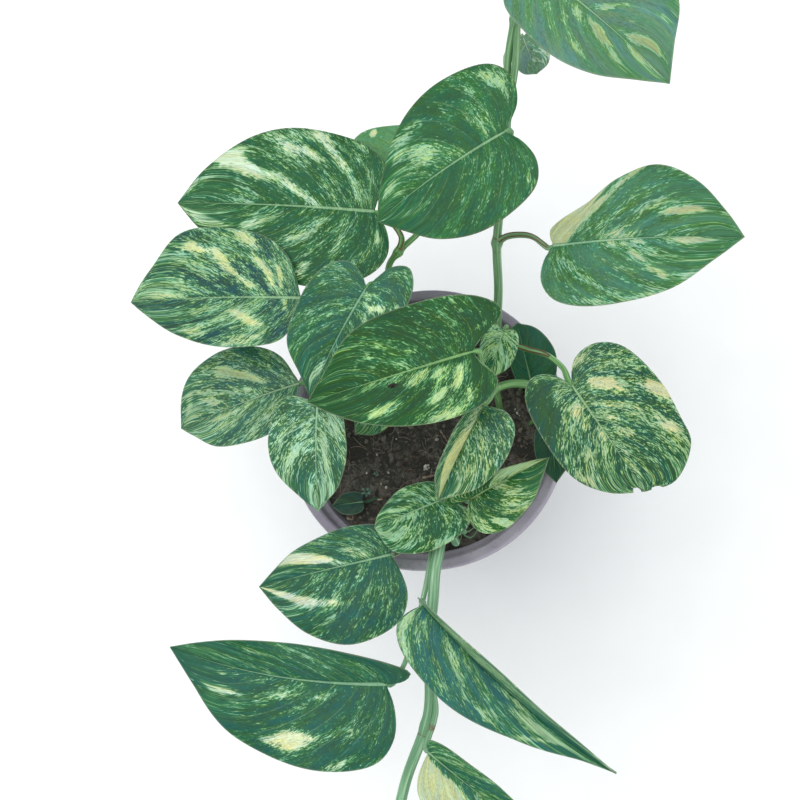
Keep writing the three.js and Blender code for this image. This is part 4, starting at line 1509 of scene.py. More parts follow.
@dataclass
class Studio:
    """A plain pale floor, soft light and the camera.

    Each light has a name, a place and a size in millimetres, and a power in watts.
    """

    camera_place: Point = (118.2, -99.2, 668.3)
    camera_target: Point = (-12.0, 14.8, 130.0)
    lens_pixels: float = 1065.0
    picture: float = 800.0
    sensor: float = 36.0
    floor_reach: float = 4.0
    floor_colours: tuple[Screen, Screen] = ((250, 250, 250), (253, 253, 253))
    floor_grain: float = 300.0
    floor_edge: tuple[float, float] = (0.3, 0.7)
    floor_roughness: float = 0.9
    floor_depth: float = 0.02
    clip: tuple[float, float] = (0.01, 20)
    sky: tuple[float, ...] = (0.93, 0.97, 1.0, 1)
    sky_strength: float = 0.7
    light_target: Point = (0, 0, 130)
    lights: tuple[tuple[str, Point, float, float], ...] = (
        ("key_light", (-420, 340, 1600), 2600, 19.0),
        ("fill_light", (700, -420, 1500), 2400, 8.0),
    )

    def build(self) -> None:
        """Set up the floor, the light and the camera."""
        self._floor()
        self._light()
        self._camera()

    def _floor(self) -> None:
        """Lay the floor under the pot."""
        bm = bmesh.new()
        bmesh.ops.create_grid(bm, x_segments=2, y_segments=2, size=self.floor_reach)
        mesh = bpy.data.meshes.new("floor")
        bm.to_mesh(mesh)
        bm.free()
        floor_piece = bpy.data.objects.new("floor", mesh)
        bpy.context.scene.collection.objects.link(floor_piece)
        material, net, shader = new_material("floor_paper")
        grain = GRAIN.use(net, {"Scale": self.floor_grain})
        first, second = self.floor_colours
        colour = net.mix(net.step(grain["Broad"], *self.floor_edge), linear(first), linear(second))
        wire(net, shader, colour, self.floor_roughness, grain["Height"], self.floor_depth)
        mesh.materials.append(material)

    def _light(self) -> None:
        """Light the scene with a pale sky and large soft lamps."""
        world = bpy.data.worlds.new("pale_sky")
        world.use_nodes = True
        background = world.node_tree.nodes["Background"]
        background.inputs["Color"].default_value = self.sky
        background.inputs["Strength"].default_value = self.sky_strength
        bpy.context.scene.world = world
        for name, place, size, power in self.lights:
            lamp = bpy.data.lights.new(name, "AREA")
            lamp.shape, lamp.size, lamp.energy = "DISK", size * MM, power
            holder = bpy.data.objects.new(name, lamp)
            holder.location = Vector(place) * MM
            aim = Vector(self.light_target) - Vector(place)
            holder.rotation_euler = aim.to_track_quat("-Z", "Y").to_euler()
            bpy.context.scene.collection.objects.link(holder)

    def _camera(self) -> None:
        """Place the camera where the photograph was taken from."""
        place, target = Vector(self.camera_place), Vector(self.camera_target)
        ahead = (target - place).normalized()
        right = ahead.cross(Vector((0, 1, 0))).normalized()
        up = right.cross(ahead)
        lens = bpy.data.cameras.new("camera")
        lens.sensor_width, lens.lens = self.sensor, self.lens_pixels / self.picture * self.sensor
        lens.clip_start, lens.clip_end = self.clip
        camera = bpy.data.objects.new("camera", lens)
        turn = Matrix((right, up, -ahead)).transposed().to_4x4()
        camera.matrix_world = Matrix.Translation(place * MM) @ turn
        bpy.context.scene.collection.objects.link(camera)
        bpy.context.scene.camera = camera
        bpy.context.scene.view_settings.view_transform = "Standard"


LEAVES = (
    Leaf(
        "leaf_top_right", (79, 170, 262), (131.5, 119, 246), Half(0.45, 0.14, 0.42, full=0.85),
        Half(0.335, 0.06, 0.3, full=0.8), arch=0.06,
        finish=LeafFinish(balance=0.1, streaks=0.8, flecks=0.6, dark=(82, 124, 102),
                          green=(74, 124, 82), cream=(140, 162, 112)),
        patches=patches_on(
            RIGHT, (0.564, 0.13, 0.27, 0.064, 0.3), (0.672, 0.13, 0.37, 0.045, 0.6),
            (0.695, 0.33, 0.67, 0.021, 0.3, -0.029), (0.466, 0.63, 0.8, 0.029, 0.35),
            (0.905, 0, 0.27, 0.078, 0.45),
        ) + patches_on(
            LEFT, (0.667, 0.07, 0.43, 0.017, 0.45, -0.045), (0.629, 0.67, 0.93, 0.02, 0.45, -0.022),
            (0.814, 0.1, 0.53, 0.027, 0.7, -0.023),
        ),
    ),
    Leaf(
        "leaf_top_small", (67.5, 167, 214), (73, 150.5, 209),
        Half(0.56, 0.1, 0.42, full=0.84, point=0.62), Half(0.5, 0.1, 0.42, full=0.84, point=0.62),
        small=True,
        finish=LeafFinish(balance=0.18, flecks=0.8, dark=(118, 150, 134), green=(118, 160, 132),
                          pale=(180, 204, 180), cream=(170, 196, 170)),
        patches=patches_on(
            LEFT, (0.766, 0.1, 0.73, 0.035, 0.5, -0.122),
        ),
    ),
    Leaf(
        "leaf_top_heart", (60, 112, 232), (-3, 83, 212), Half(0.5, 0.09, 0.3, full=0.76),
        Half(0.56, 0.2, 0.24, full=0.7), arch=0.06, phase=0.2,
        finish=LeafFinish(balance=0.05, streaks=0.8, flecks=0.9, dark=(24, 84, 46),
                          green=(26, 92, 42), rim=(122, 106, 84), cream=(150, 186, 130)),
        patches=patches_on(
            RIGHT, (0.631, 0.27, 0.83, 0.04, 0.45, -0.026), (0.543, 0.73, 0.93, 0.026, 0.35),
            (0.138, 0.7, 0.87, 0.017, 0.45), (0.074, 0.6, 0.97, 0.08, 0.22),
            (0.086, 0.63, 0.83, 0.034, 0.35), (0.337, 0.07, 0.63, 0.024, 0.28, -0.012),
            (0.257, 0.6, 0.73, 0.013, 0.35), (0.398, 0.93, 1, 0.018, 0.35),
            (0.456, 0.7, 0.87, 0.029, 0.38), (0.399, 0.57, 0.67, 0.013, 0.42),
            (0.776, 0.5, 0.77, 0.022, 0.38, -0.029), (0.834, 0.17, 0.4, 0.014, 0.38, -0.015),
            (0.662, 0, 0.67, 0.08, 0.12, 0.032),
        ) + patches_on(
            LEFT, (0.478, 0.07, 0.2, 0.024, 0.28), (0.103, 0.8, 0.97, 0.016, 0.38, -0.028),
            (0.738, 0.33, 0.63, 0.111, 0.28, 0.097),
        ),
    ),
    Leaf(
        "leaf_pale_back", (17, 120, 180), (-35, 121, 178), Half(0.3, 0.1, 0.3),
        Half(0.52, 0.1, 0.5, full=0.85), small=True,
        finish=LeafFinish(balance=0.2, streaks=0.15, flecks=0.1, clouds=0.15, dark=(84, 138, 90),
                          green=(88, 142, 90)),
        slot=Slot.PALE_LEAF,
        patches=patches_on(
            RIGHT, (0.435, 0.93, 1, 0.014, 0.8), (0.441, 0.87, 0.93, 0.018, 0.8),
            (0.447, 0.8, 0.87, 0.013, 0.8),
        ),
    ),
    Leaf(
        "leaf_upper_left", (-10, 96, 194), (-116, 112, 190), Half(0.38, 0.1, 0.25, full=0.7),
        Half(0.375, 0.03, 0.31, round=0.3, full=0.92, point=0.46), arch=0.03, phase=0.6,
        finish=LeafFinish(balance=0.12, streaks=0.95, flecks=1, dark=(12, 80, 42),
                          green=(8, 74, 26), rim=(122, 106, 84), cream=(190, 208, 172)),
        patches=patches_on(
            RIGHT, (0.627, 0.53, 0.87, 0.035, 0.7, -0.036), (0.57, 0.83, 1, 0.056, 0.65),
            (0.632, 0.37, 0.53, 0.024, 0.5), (0.574, 0.27, 0.47, 0.028, 0.42),
            (0.539, 0, 0.27, 0.036, 0.48, 0.046), (0.396, 0.77, 0.97, 0.034, 0.42, 0.013),
            (0.35, 0.6, 0.77, 0.043, 0.55, 0.036), (0.419, 0.53, 0.77, 0.033, 0.32, 0.021),
            (0.243, 0.77, 0.97, 0.027, 0.5, -0.038), (0.252, 0.53, 0.77, 0.036, 0.5),
            (0.269, 0.1, 0.53, 0.03, 0.3), (0.278, 0.87, 1, 0.065, 0.35),
            (0.722, 0.73, 0.97, 0.039, 0.35), (0.804, 0, 0.2, 0.032, 0.3, 0.035),
        ) + patches_on(
            LEFT, (0.747, 0.57, 0.93, 0.081, 0.45), (0.671, 0.3, 0.53, 0.02, 0.4, -0.026),
            (0.47, 0.13, 0.5, 0.023, 0.25), (0.34, 0.13, 0.63, 0.022, 0.35, -0.07),
            (0.326, 0.73, 0.9, 0.017, 0.5, -0.035), (0.102, 0.43, 0.67, 0.021, 0.4, -0.064),
            (0.494, 0.43, 0.6, 0.017, 0.3),
        ),
    ),
    Leaf(
        "leaf_far_left", (-46, 54, 196), (-138, 59, 193),
        Half(0.27, -0.04, 0.36, full=0.74, fold=-2, notch=0.3),
        Half(0.4, -0.07, 0.46, round=0.35, full=0.9, point=0.42, notch=0.3), phase=0.3,
        finish=LeafFinish(balance=0.22, streaks=1, flecks=1.3, dark=(14, 66, 60),
                          green=(22, 82, 52), cream=(186, 196, 140)),
        patches=patches_on(
            RIGHT, (0.494, 0.67, 0.83, 0.034, 0.8), (0.507, 0.37, 0.7, 0.031, 0.6, -0.07),
            (0.499, 0.13, 0.37, 0.029, 0.5), (0.205, 0.73, 0.97, 0.047, 0.5),
            (0.308, 0.37, 0.57, 0.027, 0.55, -0.016), (0.365, 0.13, 0.37, 0.022, 0.5, -0.059),
            (0.291, 0.17, 0.57, 0.018, 0.4, -0.132), (0.844, 0.03, 0.37, 0.036, 0.35, 0.047),
        ) + patches_on(
            LEFT, (0.514, 0.3, 0.57, 0.044, 0.65, -0.244), (0.48, 0.77, 0.9, 0.047, 0.4),
            (0.234, 0.77, 0.97, 0.061, 0.4), (0.313, 0.03, 0.3, 0.023, 0.4, -0.118),
        ),
    ),
    Leaf(
        "leaf_left_low", (-54, 17, 172), (-121, -2, 164),
        Half(0.3, -0.08, 0.46, full=0.8, notch=0.3),
        Half(0.44, -0.08, 0.56, round=0.32, full=0.86, point=0.52, notch=0.3), phase=0.8,
        finish=LeafFinish(balance=0.26, streaks=1, flecks=1.3, dark=(36, 82, 70),
                          green=(42, 88, 58), pale=(146, 178, 140), cream=(152, 172, 124)),
        patches=patches_on(
            RIGHT, (0.434, 0.2, 0.7, 0.043, 0.55, 0.041), (0.75, 0.23, 0.4, 0.025, 0.5, -0.034),
            (0.742, 0.17, 0.63, 0.04, 0.2, -0.071), (0.785, 0.6, 0.83, 0.041, 0.35, -0.147),
        ) + patches_on(
            LEFT, (0.721, 0.17, 0.33, 0.068, 0.45, 0.052), (0.487, 0, 0.23, 0.096, -0.2, -0.198),
        ),
    ),
    Leaf(
        "leaf_left_rim", (-40, 3, 185), (-48, -46, 156), Half(0.28, 0.04, 0.35, full=0.8),
        Half(0.44, 0.05, 0.34, full=0.84), phase=0.5,
        finish=LeafFinish(balance=0.3, streaks=1.1, flecks=1.4, dark=(44, 92, 68),
                          green=(50, 100, 66), pale=(164, 202, 162), cream=(164, 198, 158)),
        patches=patches_on(
            RIGHT, (0.535, 0.4, 0.6, 0.04, 0.4),
        ) + patches_on(
            LEFT, (0.455, 0.2, 0.77, 0.169, 0.22, 0.403), (0.278, 0.4, 0.7, 0.053, 0.4, -0.044),
        ),
    ),
    Leaf(
        "leaf_back_heart", (-10, 53, 206), (-45, 7, 181), Half(0.37, 0.3, 0.16, full=0.8),
        Half(0.42, 0.1, 0.34, full=0.84, fold=12, curl=-0.2), arch=0.06,
        finish=LeafFinish(balance=0.1, streaks=0.9, flecks=1.1, dark=(36, 88, 66),
                          green=(32, 88, 52), pale=(138, 184, 148), cream=(190, 220, 172)),
        patches=patches_on(
            RIGHT, (0.838, 0, 0.6, 0.047, 0.5, -0.022),
        ) + patches_on(
            LEFT, (0.357, 0.33, 0.63, 0.026, 0.7, -0.069), (0.277, 0.07, 0.47, 0.056, 0.3, 0.19),
            (0.26, 0.57, 0.9, 0.009, 0.35, -0.06), (0.358, 0.63, 0.87, 0.017, 0.3, -0.115),
        ),
    ),
    Leaf(
        "leaf_centre", (41, 18, 212), (-40, 1, 200), Half(0.34, 0.1, 0.27, full=0.72, notch=0.3),
        Half(0.35, 0.2, 0.28, full=0.8, notch=0.35), arch=0.07, bow=0.02, phase=0.1,
        finish=LeafFinish(balance=0.03, streaks=0.75, flecks=1.1, dark=(4, 68, 22),
                          green=(4, 72, 14), pale=(134, 178, 112), cream=(170, 200, 136)),
        patches=patches_on(
            RIGHT, (0.64, 0.4, 0.6, 0.011, 0.4, -0.026), (0.561, 0.47, 0.57, 0.016, 0.4),
            (0.524, 0.23, 0.33, 0.02, 0.35), (0.444, 0.23, 0.3, 0.017, 0.35),
            (0.169, 0.73, 0.8, 0.009, 0.4), (0.081, 0.77, 0.83, 0.021, 0.4),
            (0.152, 0.43, 0.67, 0.015, 0.4, -0.102), (0.447, 0.8, 0.9, 0.014, 0.35),
            (0.753, 0.23, 0.37, 0.016, 0.35), (0.596, 0.03, 0.2, 0.026, 0.2, 0.036),
        ) + patches_on(
            LEFT, (0.682, 0, 0.23, 0.082, 0.35), (0.538, 0.07, 0.33, 0.054, 0.55),
            (0.423, 0.13, 0.27, 0.031, 0.4), (0.323, 0.5, 0.67, 0.029, 0.6),
            (0.287, 0.17, 0.53, 0.03, 0.55, -0.034), (0.162, 0.6, 0.83, 0.012, 0.5, -0.033),
            (0.528, 0.57, 0.87, 0.067, 0.5), (0.207, 0.87, 1, 0.06, 0.45),
            (0.337, 0.13, 1, 0.132, 0.22, -0.161), (0.453, 0.43, 1, 0.066, -0.15, -0.146),
            (0.139, 0.27, 0.8, 0.04, -0.2, -0.069),
        ),
        tears=(Tear(LEFT, 0.667, 0.23, (2.6, 1.1), -8),),
    ),
    Leaf(
        "leaf_centre_small", (50, 36, 176), (42, 15, 168), Half(0.4, 0.1, 0.35),
        Half(0.38, 0.1, 0.35), small=True,
        finish=LeafFinish(balance=0.5, streaks=0.9, flecks=1.4, dark=(26, 92, 52),
                          green=(32, 98, 48), pale=(160, 202, 148), cream=(160, 198, 146)),
    ),
    Leaf(
        "leaf_right_dark", (58, 21, 134), (52.5, 50, 140),
        Half(0.28, 0.08, 0.5, full=0.9, point=0.66), Half(0.52, 0.12, 0.36, full=0.8, point=0.5),
        small=True,
        finish=LeafFinish(balance=-0.1, streaks=0.4, flecks=0.3, dark=(30, 90, 66),
                          green=(30, 92, 58)),
    ),
    Leaf(
        "leaf_right_broad", (83, 5, 190), (113, -42, 170),
        Half(0.575, 0.17, 0.36, round=0.24, full=0.95, point=0.88, notch=0.9, square=0.06),
        Half(0.42, 0.22, 0.22, full=0.93, point=0.56), arch=0.05, phase=0.4,
        finish=LeafFinish(balance=0.22, streaks=0.85, flecks=1.6, dark=(22, 72, 50),
                          green=(22, 74, 38), pale=(150, 184, 134), cream=(192, 194, 144)),
        patches=patches_on(
            RIGHT, (0.423, 0.1, 0.3, 0.05, 0.45), (0.512, 0.13, 0.3, 0.052, 0.3, 0.06),
            (0.591, 0.4, 0.57, 0.027, 0.3, -0.014), (0.66, 0, 0.17, 0.033, 0.35),
            (0.52, 0.83, 0.97, 0.064, 0.35), (0.189, 0.5, 1, 0.156, -0.65),
        ) + patches_on(
            LEFT, (0.06, 0.6, 1, 0.053, 0.45, -0.217), (0.276, 0.23, 0.53, 0.055, 0.65, 0.05),
            (0.317, 0.77, 0.97, 0.031, 0.7, -0.016), (0.311, 0.87, 1, 0.048, 0.55),
            (0.401, 0.97, 1, 0.03, 0.55), (0.489, 0.7, 0.9, 0.038, 0.45),
            (0.482, 0.17, 0.57, 0.026, 0.3, -0.036), (0.569, 0.13, 0.27, 0.021, 0.4),
            (0.64, 0.13, 0.37, 0.035, 0.3), (0.825, 0.07, 0.23, 0.107, 0.25, 0.132),
        ),
        tears=(Tear(RIGHT, 0.965, 0.9, (2.4, 1.6), 20), Tear(LEFT, 0.955, 1, (2.6, 1.3), 60)),
    ),
    Leaf(
        "leaf_right_upper", (78, 67, 205), (161, 65, 202),
        Half(0.4, -0.2, 0.54, round=0.4, full=0.74, fold=18, notch=-0.08),
        Half(0.37, 0.07, 0.25, full=0.76), arch=0.06, phase=0.7,
        finish=LeafFinish(balance=0.14, streaks=1, flecks=1, dark=(58, 112, 82), green=(40, 92, 38),
                          pale=(136, 180, 142), cream=(168, 178, 132)),
        patches=patches_on(
            RIGHT, (0.615, 0, 0.13, 0.11, 0.4), (0.595, 0.23, 0.83, 0.019, 0.5, -0.082),
            (0.433, 0.2, 0.53, 0.02, 0.3, 0.026), (0.83, 0.03, 0.3, 0.059, 0.6),
            (0.389, 0.9, 1, 0.042, 0.35), (0.137, 0.83, 0.97, 0.023, 0.3),
            (0.202, 0.9, 1, 0.031, 0.45), (0.548, 0.9, 1, 0.034, 0.4),
        ) + patches_on(
            LEFT, (0.535, 0.37, 0.63, 0.043, 0.35, 0.038), (0.649, 0.43, 0.7, 0.03, 0.65, 0.02),
            (0.597, 0, 0.13, 0.083, 0.4), (0, 0, 1.1, 0.21, 1.2), (0.25, 0, 1.1, 0.05, 0.35),
            (0.18, 0.75, 1.1, 0.06, -0.7),
        ),
    ),
    Leaf(
        "leaf_front_left", (-12, -68, 152), (-81, -83, 150), Half(0.55, 0.07, 0.38, full=0.74),
        Half(0.26, 0.05, 0.26, full=0.76), phase=0.9,
        finish=LeafFinish(balance=0.1, streaks=0.9, flecks=1, dark=(20, 80, 64), green=(20, 78, 50),
                          pale=(142, 184, 144), cream=(198, 206, 172)),
        patches=patches_on(
            RIGHT, (0.631, 0.27, 1, 0.069, 0.7, -0.057), (0.608, 0.03, 0.7, 0.042, 0.45),
            (0.403, 0.7, 1, 0.029, 0.3), (0.419, 0.1, 0.47, 0.05, 0.35, 0.015),
        ) + patches_on(
            LEFT, (0.739, 0.47, 0.63, 0.282, 0.75, 0.154), (0.485, 0.07, 0.27, 0.017, 0.3, -0.013),
            (0.56, 0.23, 0.5, 0.02, 0.25, -0.016), (0.435, 0.4, 0.53, 0.017, 0.25),
            (0.202, 0.6, 0.77, 0.017, 0.35, -0.035),
        ),
    ),
    Leaf(
        "leaf_trail_left", (-14, -130, 152), (-128, -113, 152), Half(0.39, 0.07, 0.22, full=0.82),
        Half(0.11, 0.1, 0.4, full=0.72, fold=14), bow=0.04, phase=0.2,
        finish=LeafFinish(balance=0.04, streaks=0.75, flecks=0.95, dark=(20, 82, 62),
                          green=(20, 84, 50), pale=(140, 184, 146), cream=(204, 212, 168)),
        patches=patches_on(
            RIGHT, (0.711, 0.03, 0.27, 0.02, 0.35, -0.014), (0.578, 0.6, 0.7, 0.033, 0.3),
        ) + patches_on(
            LEFT, (0.369, 0.63, 0.87, 0.059, 0.8), (0.685, 0.43, 0.77, 0.031, 0.55),
            (0.724, 0.07, 0.33, 0.056, 0.3, 0.111), (0.605, 0.23, 0.3, 0.028, 0.4),
            (0.483, 0.13, 0.23, 0.043, 0.35), (0.216, 0.5, 0.67, 0.037, 0.4),
            (0.165, 0.87, 1, 0.035, 0.45),
        ),
    ),
    Leaf(
        "leaf_trail_right", (13, -93, 184), (95, -166, 166),
        Half(0.24, 0.04, 0.28, full=0.7, point=0.24, fold=82),
        Half(0.235, 0.04, 0.29, full=0.62, point=0.2), arch=0.07, bow=-0.03, phase=0.6,
        finish=LeafFinish(balance=0.08, streaks=1, flecks=1.1, dark=(26, 92, 86),
                          green=(28, 94, 68), cream=(160, 190, 146)),
        patches=patches_on(
            RIGHT, (0, 0.77, 0.97, 0.06, 0.5), (0.01, 0.47, 0.77, 0.049, 0.5, -0.053),
            (0.171, 0.23, 0.7, 0.022, 0.35, -0.05), (0.257, 0.47, 0.57, 0.021, 0.3),
            (0.401, 0.17, 0.5, 0.028, 0.5), (0.239, 0.73, 0.87, 0.022, 0.5),
            (0.357, 0.6, 0.77, 0.021, 0.4), (0.393, 0.73, 0.9, 0.027, 0.4),
            (0.457, 0.67, 0.8, 0.022, 0.4), (0.639, 0.03, 0.2, 0.03, 0.35),
            (0.717, 0, 0.2, 0.033, 0.45), (0.68, 0.33, 0.63, 0.077, 0.5),
            (0.854, 0, 0.03, 0.037, 0.5), (0.7, 0.63, 0.97, 0.022, 0.5, -0.25),
        ) + patches_on(
            LEFT, (0.3, 0.1, 0.9, 0.3, 0.45), (0.75, 0.7, 1.05, 0.14, 0.4),
        ),
    ),
    Leaf(
        "leaf_trail_end", (9, -160, 160), (65, -201, 154), Half(0.15, 0.04, 0.4, full=0.8, fold=30),
        Half(0.32, -0.04, 0.4, notch=0.3), phase=0.4,
        finish=LeafFinish(balance=0.14, streaks=1, flecks=1, dark=(24, 88, 66), green=(28, 92, 48),
                          cream=(176, 188, 142)),
        patches=patches_on(
            RIGHT, (0.1, 0.15, 1.1, 0.42, 1),
        ),
    ),
    Leaf(
        "leaf_front_round", (15, -43, 161), (-18, -55, 159),
        Half(0.6, 0.34, 0.3, full=0.88, point=0.66), Half(0.36, 0.1, 0.4, full=0.7, point=0.4),
        phase=0.3,
        finish=LeafFinish(balance=0.2, streaks=1, flecks=1.25, dark=(12, 76, 38),
                          green=(14, 80, 28), cream=(132, 174, 124)),
        patches=patches_on(
            RIGHT, (0.64, 0.2, 0.57, 0.057, 0.3, 0.03), (0.269, 0.13, 0.4, 0.06, 0.35, 0.072),
            (0.191, 0.63, 0.77, 0.063, 0.3),
        ) + patches_on(
            LEFT, (0.657, 0, 0.17, 0.185, 0.3), (0.667, 0.43, 0.73, 0.092, 0.35, 0.081),
            (0.462, 0.4, 0.77, 0.024, 0.3, 0.02), (1.01, 0, 0.9, 0.036, 0.3, -0.257),
            (0.02, 0.77, 1, 0.065, 0.5), (0.273, 0.87, 1, 0.102, 0.35),
        ),
    ),
    Leaf(
        "leaf_folded", (42, -3, 190), (17, -44, 174), Half(0.42, 0.06, 0.32, full=0.76),
        Half(0.28, 0.06, 0.45, fold=74), arch=0.05,
        finish=LeafFinish(balance=0.22, streaks=0.8, flecks=1.5, dark=(36, 86, 62),
                          green=(34, 88, 50), pale=(158, 190, 146), cream=(206, 212, 146)),
        patches=patches_on(
            RIGHT, (0.74, 0.02, 0.66, 0.34, 0.75), (0.2, 0.1, 0.6, 0.2, 0.2),
        ),
    ),
    Leaf(
        "leaf_front_right", (31, -43, 166), (70, -25, 172),
        Half(0.19, 0.3, 0.1, round=0.5, full=0.6, point=0.3, fold=22),
        Half(0.48, 0.1, 0.24, full=0.74), arch=0.04, phase=0.5,
        finish=LeafFinish(balance=0.18, streaks=1.2, flecks=1, dark=(14, 78, 36),
                          green=(18, 84, 28), fresh=(72, 126, 60), pale=(162, 190, 134),
                          cream=(160, 190, 136)),
        patches=patches_on(
            RIGHT, (0.656, 0, 0.13, 0.067, 0.3), (0.57, 0.33, 0.57, 0.044, 0.35, 0.039),
            (0.263, 0.67, 1, 0.037, 0.6), (0.41, 0.43, 1, 0.034, 0.4, 0.023),
            (0.176, 0.6, 0.9, 0.032, 0.4, -0.031),
        ) + patches_on(
            LEFT, (1.014, 0, 1, 0.19, 0.4, -0.61),
        ),
    ),
    Leaf(
        "leaf_right_under", (68, -4, 138), (70, -33, 139), Half(0.34, 0.05, 0.4),
        Half(0.32, 0.05, 0.4), small=True,
        finish=LeafFinish(balance=-0.05, streaks=0.4, flecks=0.3, dark=(28, 74, 60),
                          green=(30, 78, 52)),
    ),
    Leaf(
        "leaf_centre_under", (-12, 10, 152), (-31, -6, 149), Half(0.4, 0.05, 0.4),
        Half(0.42, 0.05, 0.4), small=True,
        finish=LeafFinish(balance=0.28, green=(40, 92, 40), cream=(176, 184, 110)),
    ),
    Leaf(
        "leaf_on_soil", (-34, -38, 123.5), (-51, -40, 123.5), Half(0.36, 0.02, 0.4, fold=4),
        Half(0.36, 0.02, 0.4, fold=4), arch=0.02, small=True,
        finish=LeafFinish(balance=-0.05, streaks=0.3, flecks=0.3, dark=(34, 70, 62),
                          green=(38, 76, 58)),
    ),
)

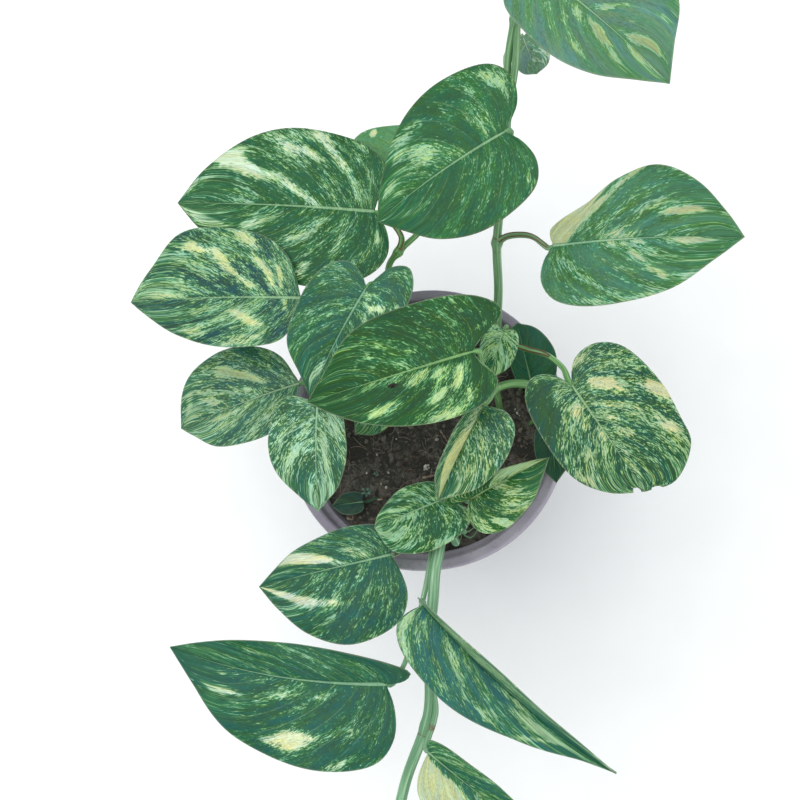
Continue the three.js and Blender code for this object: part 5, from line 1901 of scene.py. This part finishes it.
VINES = (
    Vine(
        "vine_top", (
            Branch(
                ((39, 41, 102), (39, 41, 121), (41, 48, 134), (46, 62, 160), (50, 76, 190),
                 (55, 96, 206), (59, 122, 214), (61, 150, 222), (66, 165, 234), (70, 169, 246)),
                (2.5, 1.5), "leaf_top_right"),
            Branch(((54, 92, 202), (54, 104, 212)), (1.5, 1.2), "leaf_top_heart"),
            Branch(
                ((50, 76, 190), (57, 76, 198), (68, 73, 203)),
                (1.5, 1.1), "leaf_right_upper", (0.1, 0.9)),
            Branch(((60, 148, 221), (59, 160, 213), (62, 167, 210)), (1, 0.7), "leaf_top_small"),
            Branch(((66, 165, 234), (66, 178, 240), (68, 196, 244)), (1.7, 1.5)),
        ),
        joints=(((50, 76, 190), 3.2), ((66, 165, 234), 2.6)),
        extras=(
            Extra(
                ((67, 164, 232), (64.8, 150, 223), (61.2, 134, 218), (57.5, 116, 212)),
                (1.7, 1.9)),
        ),
        finish=StemFinish((132, 178, 124), (172, 206, 162), (92, 138, 94)),
    ),
    Vine(
        "vine_back_left", (
            Branch(
                ((2, 47, 102), (2, 47, 120), (-2, 53, 145), (-8, 64, 168), (-6, 73, 178),
                 (0, 78, 183), (10, 88, 181), (20, 104, 175), (24, 118, 174)),
                (2.2, 1.1), "leaf_pale_back"),
            Branch(
                ((0, 78, 183), (3, 83, 188), (-1, 90, 190)),
                (1.6, 1.1), "leaf_upper_left", (0.1, 0.9)),
        ),
        joints=(((0, 78, 183), 2.9),),
    ),
    Vine(
        "vine_centre", (
            Branch(
                ((-1, 25, 102), (-1, 25, 120), (-2, 26, 150), (-8, 31, 168), (-15, 39, 176)),
                (2.4, 1.8)),
            Branch(((-8, 31, 168), (-2, 44, 182), (-4, 55, 197)), (1.5, 1.1), "leaf_back_heart"),
            Branch(((-15, 39, 176), (-26, 47, 184)), (1.5, 1.1), "leaf_far_left"),
            Branch(((-8, 31, 168), (-30, 22, 164)), (1.5, 1.1), "leaf_left_low"),
            Branch(((-4, 28, 160), (-24, 16, 174)), (1.4, 1.1), "leaf_left_rim"),
            Branch(((-2, 26, 150), (-5, 18, 151)), (1, 0.8), "leaf_centre_under"),
        ),
        joints=(((-8, 31, 168), 2.9),),
    ),
    Vine(
        "vine_right", (
            Branch(
                ((57, 12, 102), (57, 12, 120), (61, 15, 136), (57, 16, 148), (50, 15, 155),
                 (43, 12, 160)),
                (2.4, 2)),
            Branch(((40, 9, 102), (40, 9, 120), (42, 11, 142), (43, 12, 160)), (1.8, 1.8)),
            Branch(
                ((43, 12, 160), (44.5, 11.5, 172), (43.5, 12, 186), (43, 15, 199)),
                (1.5, 1.1), "leaf_centre"),
            Branch(((43, 12, 160), (46, 8, 176)), (1.4, 1.1), "leaf_folded"),
        ),
        joints=(((43, 12, 160), 3),),
    ),
    Vine(
        "stalk_right_broad", (
            Branch(
                ((43, 34, 102), (43, 34, 120), (47, 38, 138), (53, 35, 151), (61, 30, 161),
                 (72, 22, 178), (79, 14, 185)),
                (1.8, 1.2), "leaf_right_broad", (0.5, 0.8)),
            Branch(((47, 38, 138), (50, 41, 160)), (1.1, 0.8), "leaf_centre_small"),
        ),
    ),
    Vine(
        "vine_front", (
            Branch(
                ((11, -17, 102), (11, -17, 123), (13, -28, 137), (14, -51, 148), (13, -66, 152),
                 (11, -76, 152), (10, -89, 152), (8, -109, 152), (8, -139, 152), (6, -149, 152),
                 (-4, -174, 150), (-10, -197, 148)),
                (3, 2.6)),
            Branch(
                ((14, -46, 146), (9, -61, 147), (8, -71, 149), (5, -87, 150), (-1, -109, 150),
                 (-6, -122, 149)),
                (1.5, 1.2), "leaf_trail_left"),
            Branch(((8, -128, 152), (11, -142, 153)), (1.6, 1.2), "leaf_trail_end"),
            Branch(((9, -104, 152), (9, -95, 166)), (1.5, 1.2), "leaf_trail_right"),
            Branch(((13, -28, 137), (1, -52, 142)), (1.4, 1.1), "leaf_front_left", (0.72, 0.96)),
            Branch(((13, -28, 137), (19, -37, 149)), (1.4, 1), "leaf_front_round"),
            Branch(((13, -26, 135), (25, -36, 147)), (1.4, 1), "leaf_front_right"),
            Branch(((14, -46, 146), (16.6, -56, 142), (19.8, -63, 138)), (1.9, 2.2)),
            Branch(((13, -33, 138), (18, -48, 137), (23, -57, 133)), (1.5, 1.5)),
        ),
        joints=(((6, -149, 152), 3.4), ((13, -28, 137), 3.4)),
        extras=(
            Extra(
                ((22.6, -55.4, 133), (24.4, -55.4, 131), (26.2, -53.9, 130), (28.1, -52.9, 129.5)),
                (0.45, 0.2)),
            Extra(
                ((22, -57.4, 132), (25.2, -58.4, 130.5), (27.6, -56.4, 130), (28.6, -53, 130)),
                (0.4, 0.18), 0.3),
            Extra(((18.2, -60, 139), (20.6, -60.4, 137), (21.6, -57.6, 136)), (0.4, 0.2), 0.5),
        ),
        finish=StemFinish((130, 176, 132), (178, 208, 178), (88, 136, 98)),
    ),
    Vine(
        "stalk_right_dark", (
            Branch(((51, 20, 102), (51, 20, 120), (55, 20, 128)), (1.1, 0.8), "leaf_right_dark"),
        ),
    ),
    Vine(
        "stalk_right_under", (
            Branch(((56, 1, 102), (56, 1, 121), (62, 1, 132)), (1.1, 0.9), "leaf_right_under"),
        ),
    ),
    Vine(
        "stalk_on_soil", (
            Branch(((-28, -36, 102), (-28, -36, 119)), (0.8, 0.7), "leaf_on_soil"),
        ),
        finish=StemFinish((62, 98, 72), (84, 122, 92), (44, 74, 56)),
    ),
)

SOIL = Soil(
    perlite=(
        (-1.1, -19.3, 1), (0.3, -18.8, 0.8), (-0.3, -20.7, 0.9), (-1.6, -20.9, 0.7),
        (0.8, -20.2, 0.6), (5.2, -5.2, 1.2), (-27.8, -12.3, 0.8), (-22.7, -29.9, 0.8),
        (-25.8, -27.9, 0.5), (-33.6, -22, 0.5), (48.5, 7.5, 0.8), (47.6, 9.4, 0.6),
        (49.6, 6.1, 0.5), (-17.5, -35.4, 0.6),
    ),
    stones=((-15.3, -17.7, 2.2), (-7.9, -24.2, 1.8), (-20.9, -8.9, 1.4), (50, -2, 1.3)),
    twigs=(
        ((-31, -36.7), (-24.1, -36.6), 0.55), ((-40.4, -47.1), (-39.4, -40.2), 0.5),
        ((-44, -46), (-40.7, -47.1), 0.7), ((-2.2, -25.7), (5.4, -24.1), 0.7),
        ((7.2, -0.2), (11.2, -6.5), 0.6), ((51.7, 38.5), (50.3, 32.8), 0.7),
    ),
    seedlings=((-33.2, -32.3, 2.6), (-27.8, -22.6, 1.3)),
)


def main() -> None:
    """Build the pot, the soil, the stems, the blades and the studio."""
    logging.basicConfig(level=logging.INFO, format="%(message)s")
    Pot().build()
    SOIL.build()
    leaves = {leaf.name: leaf for leaf in LEAVES}
    for seed, leaf in enumerate(LEAVES, 1):
        leaf.build(float(seed))
    for vine in VINES:
        vine.build(leaves)
    Studio().build()


if __name__ == "__main__":
    main()
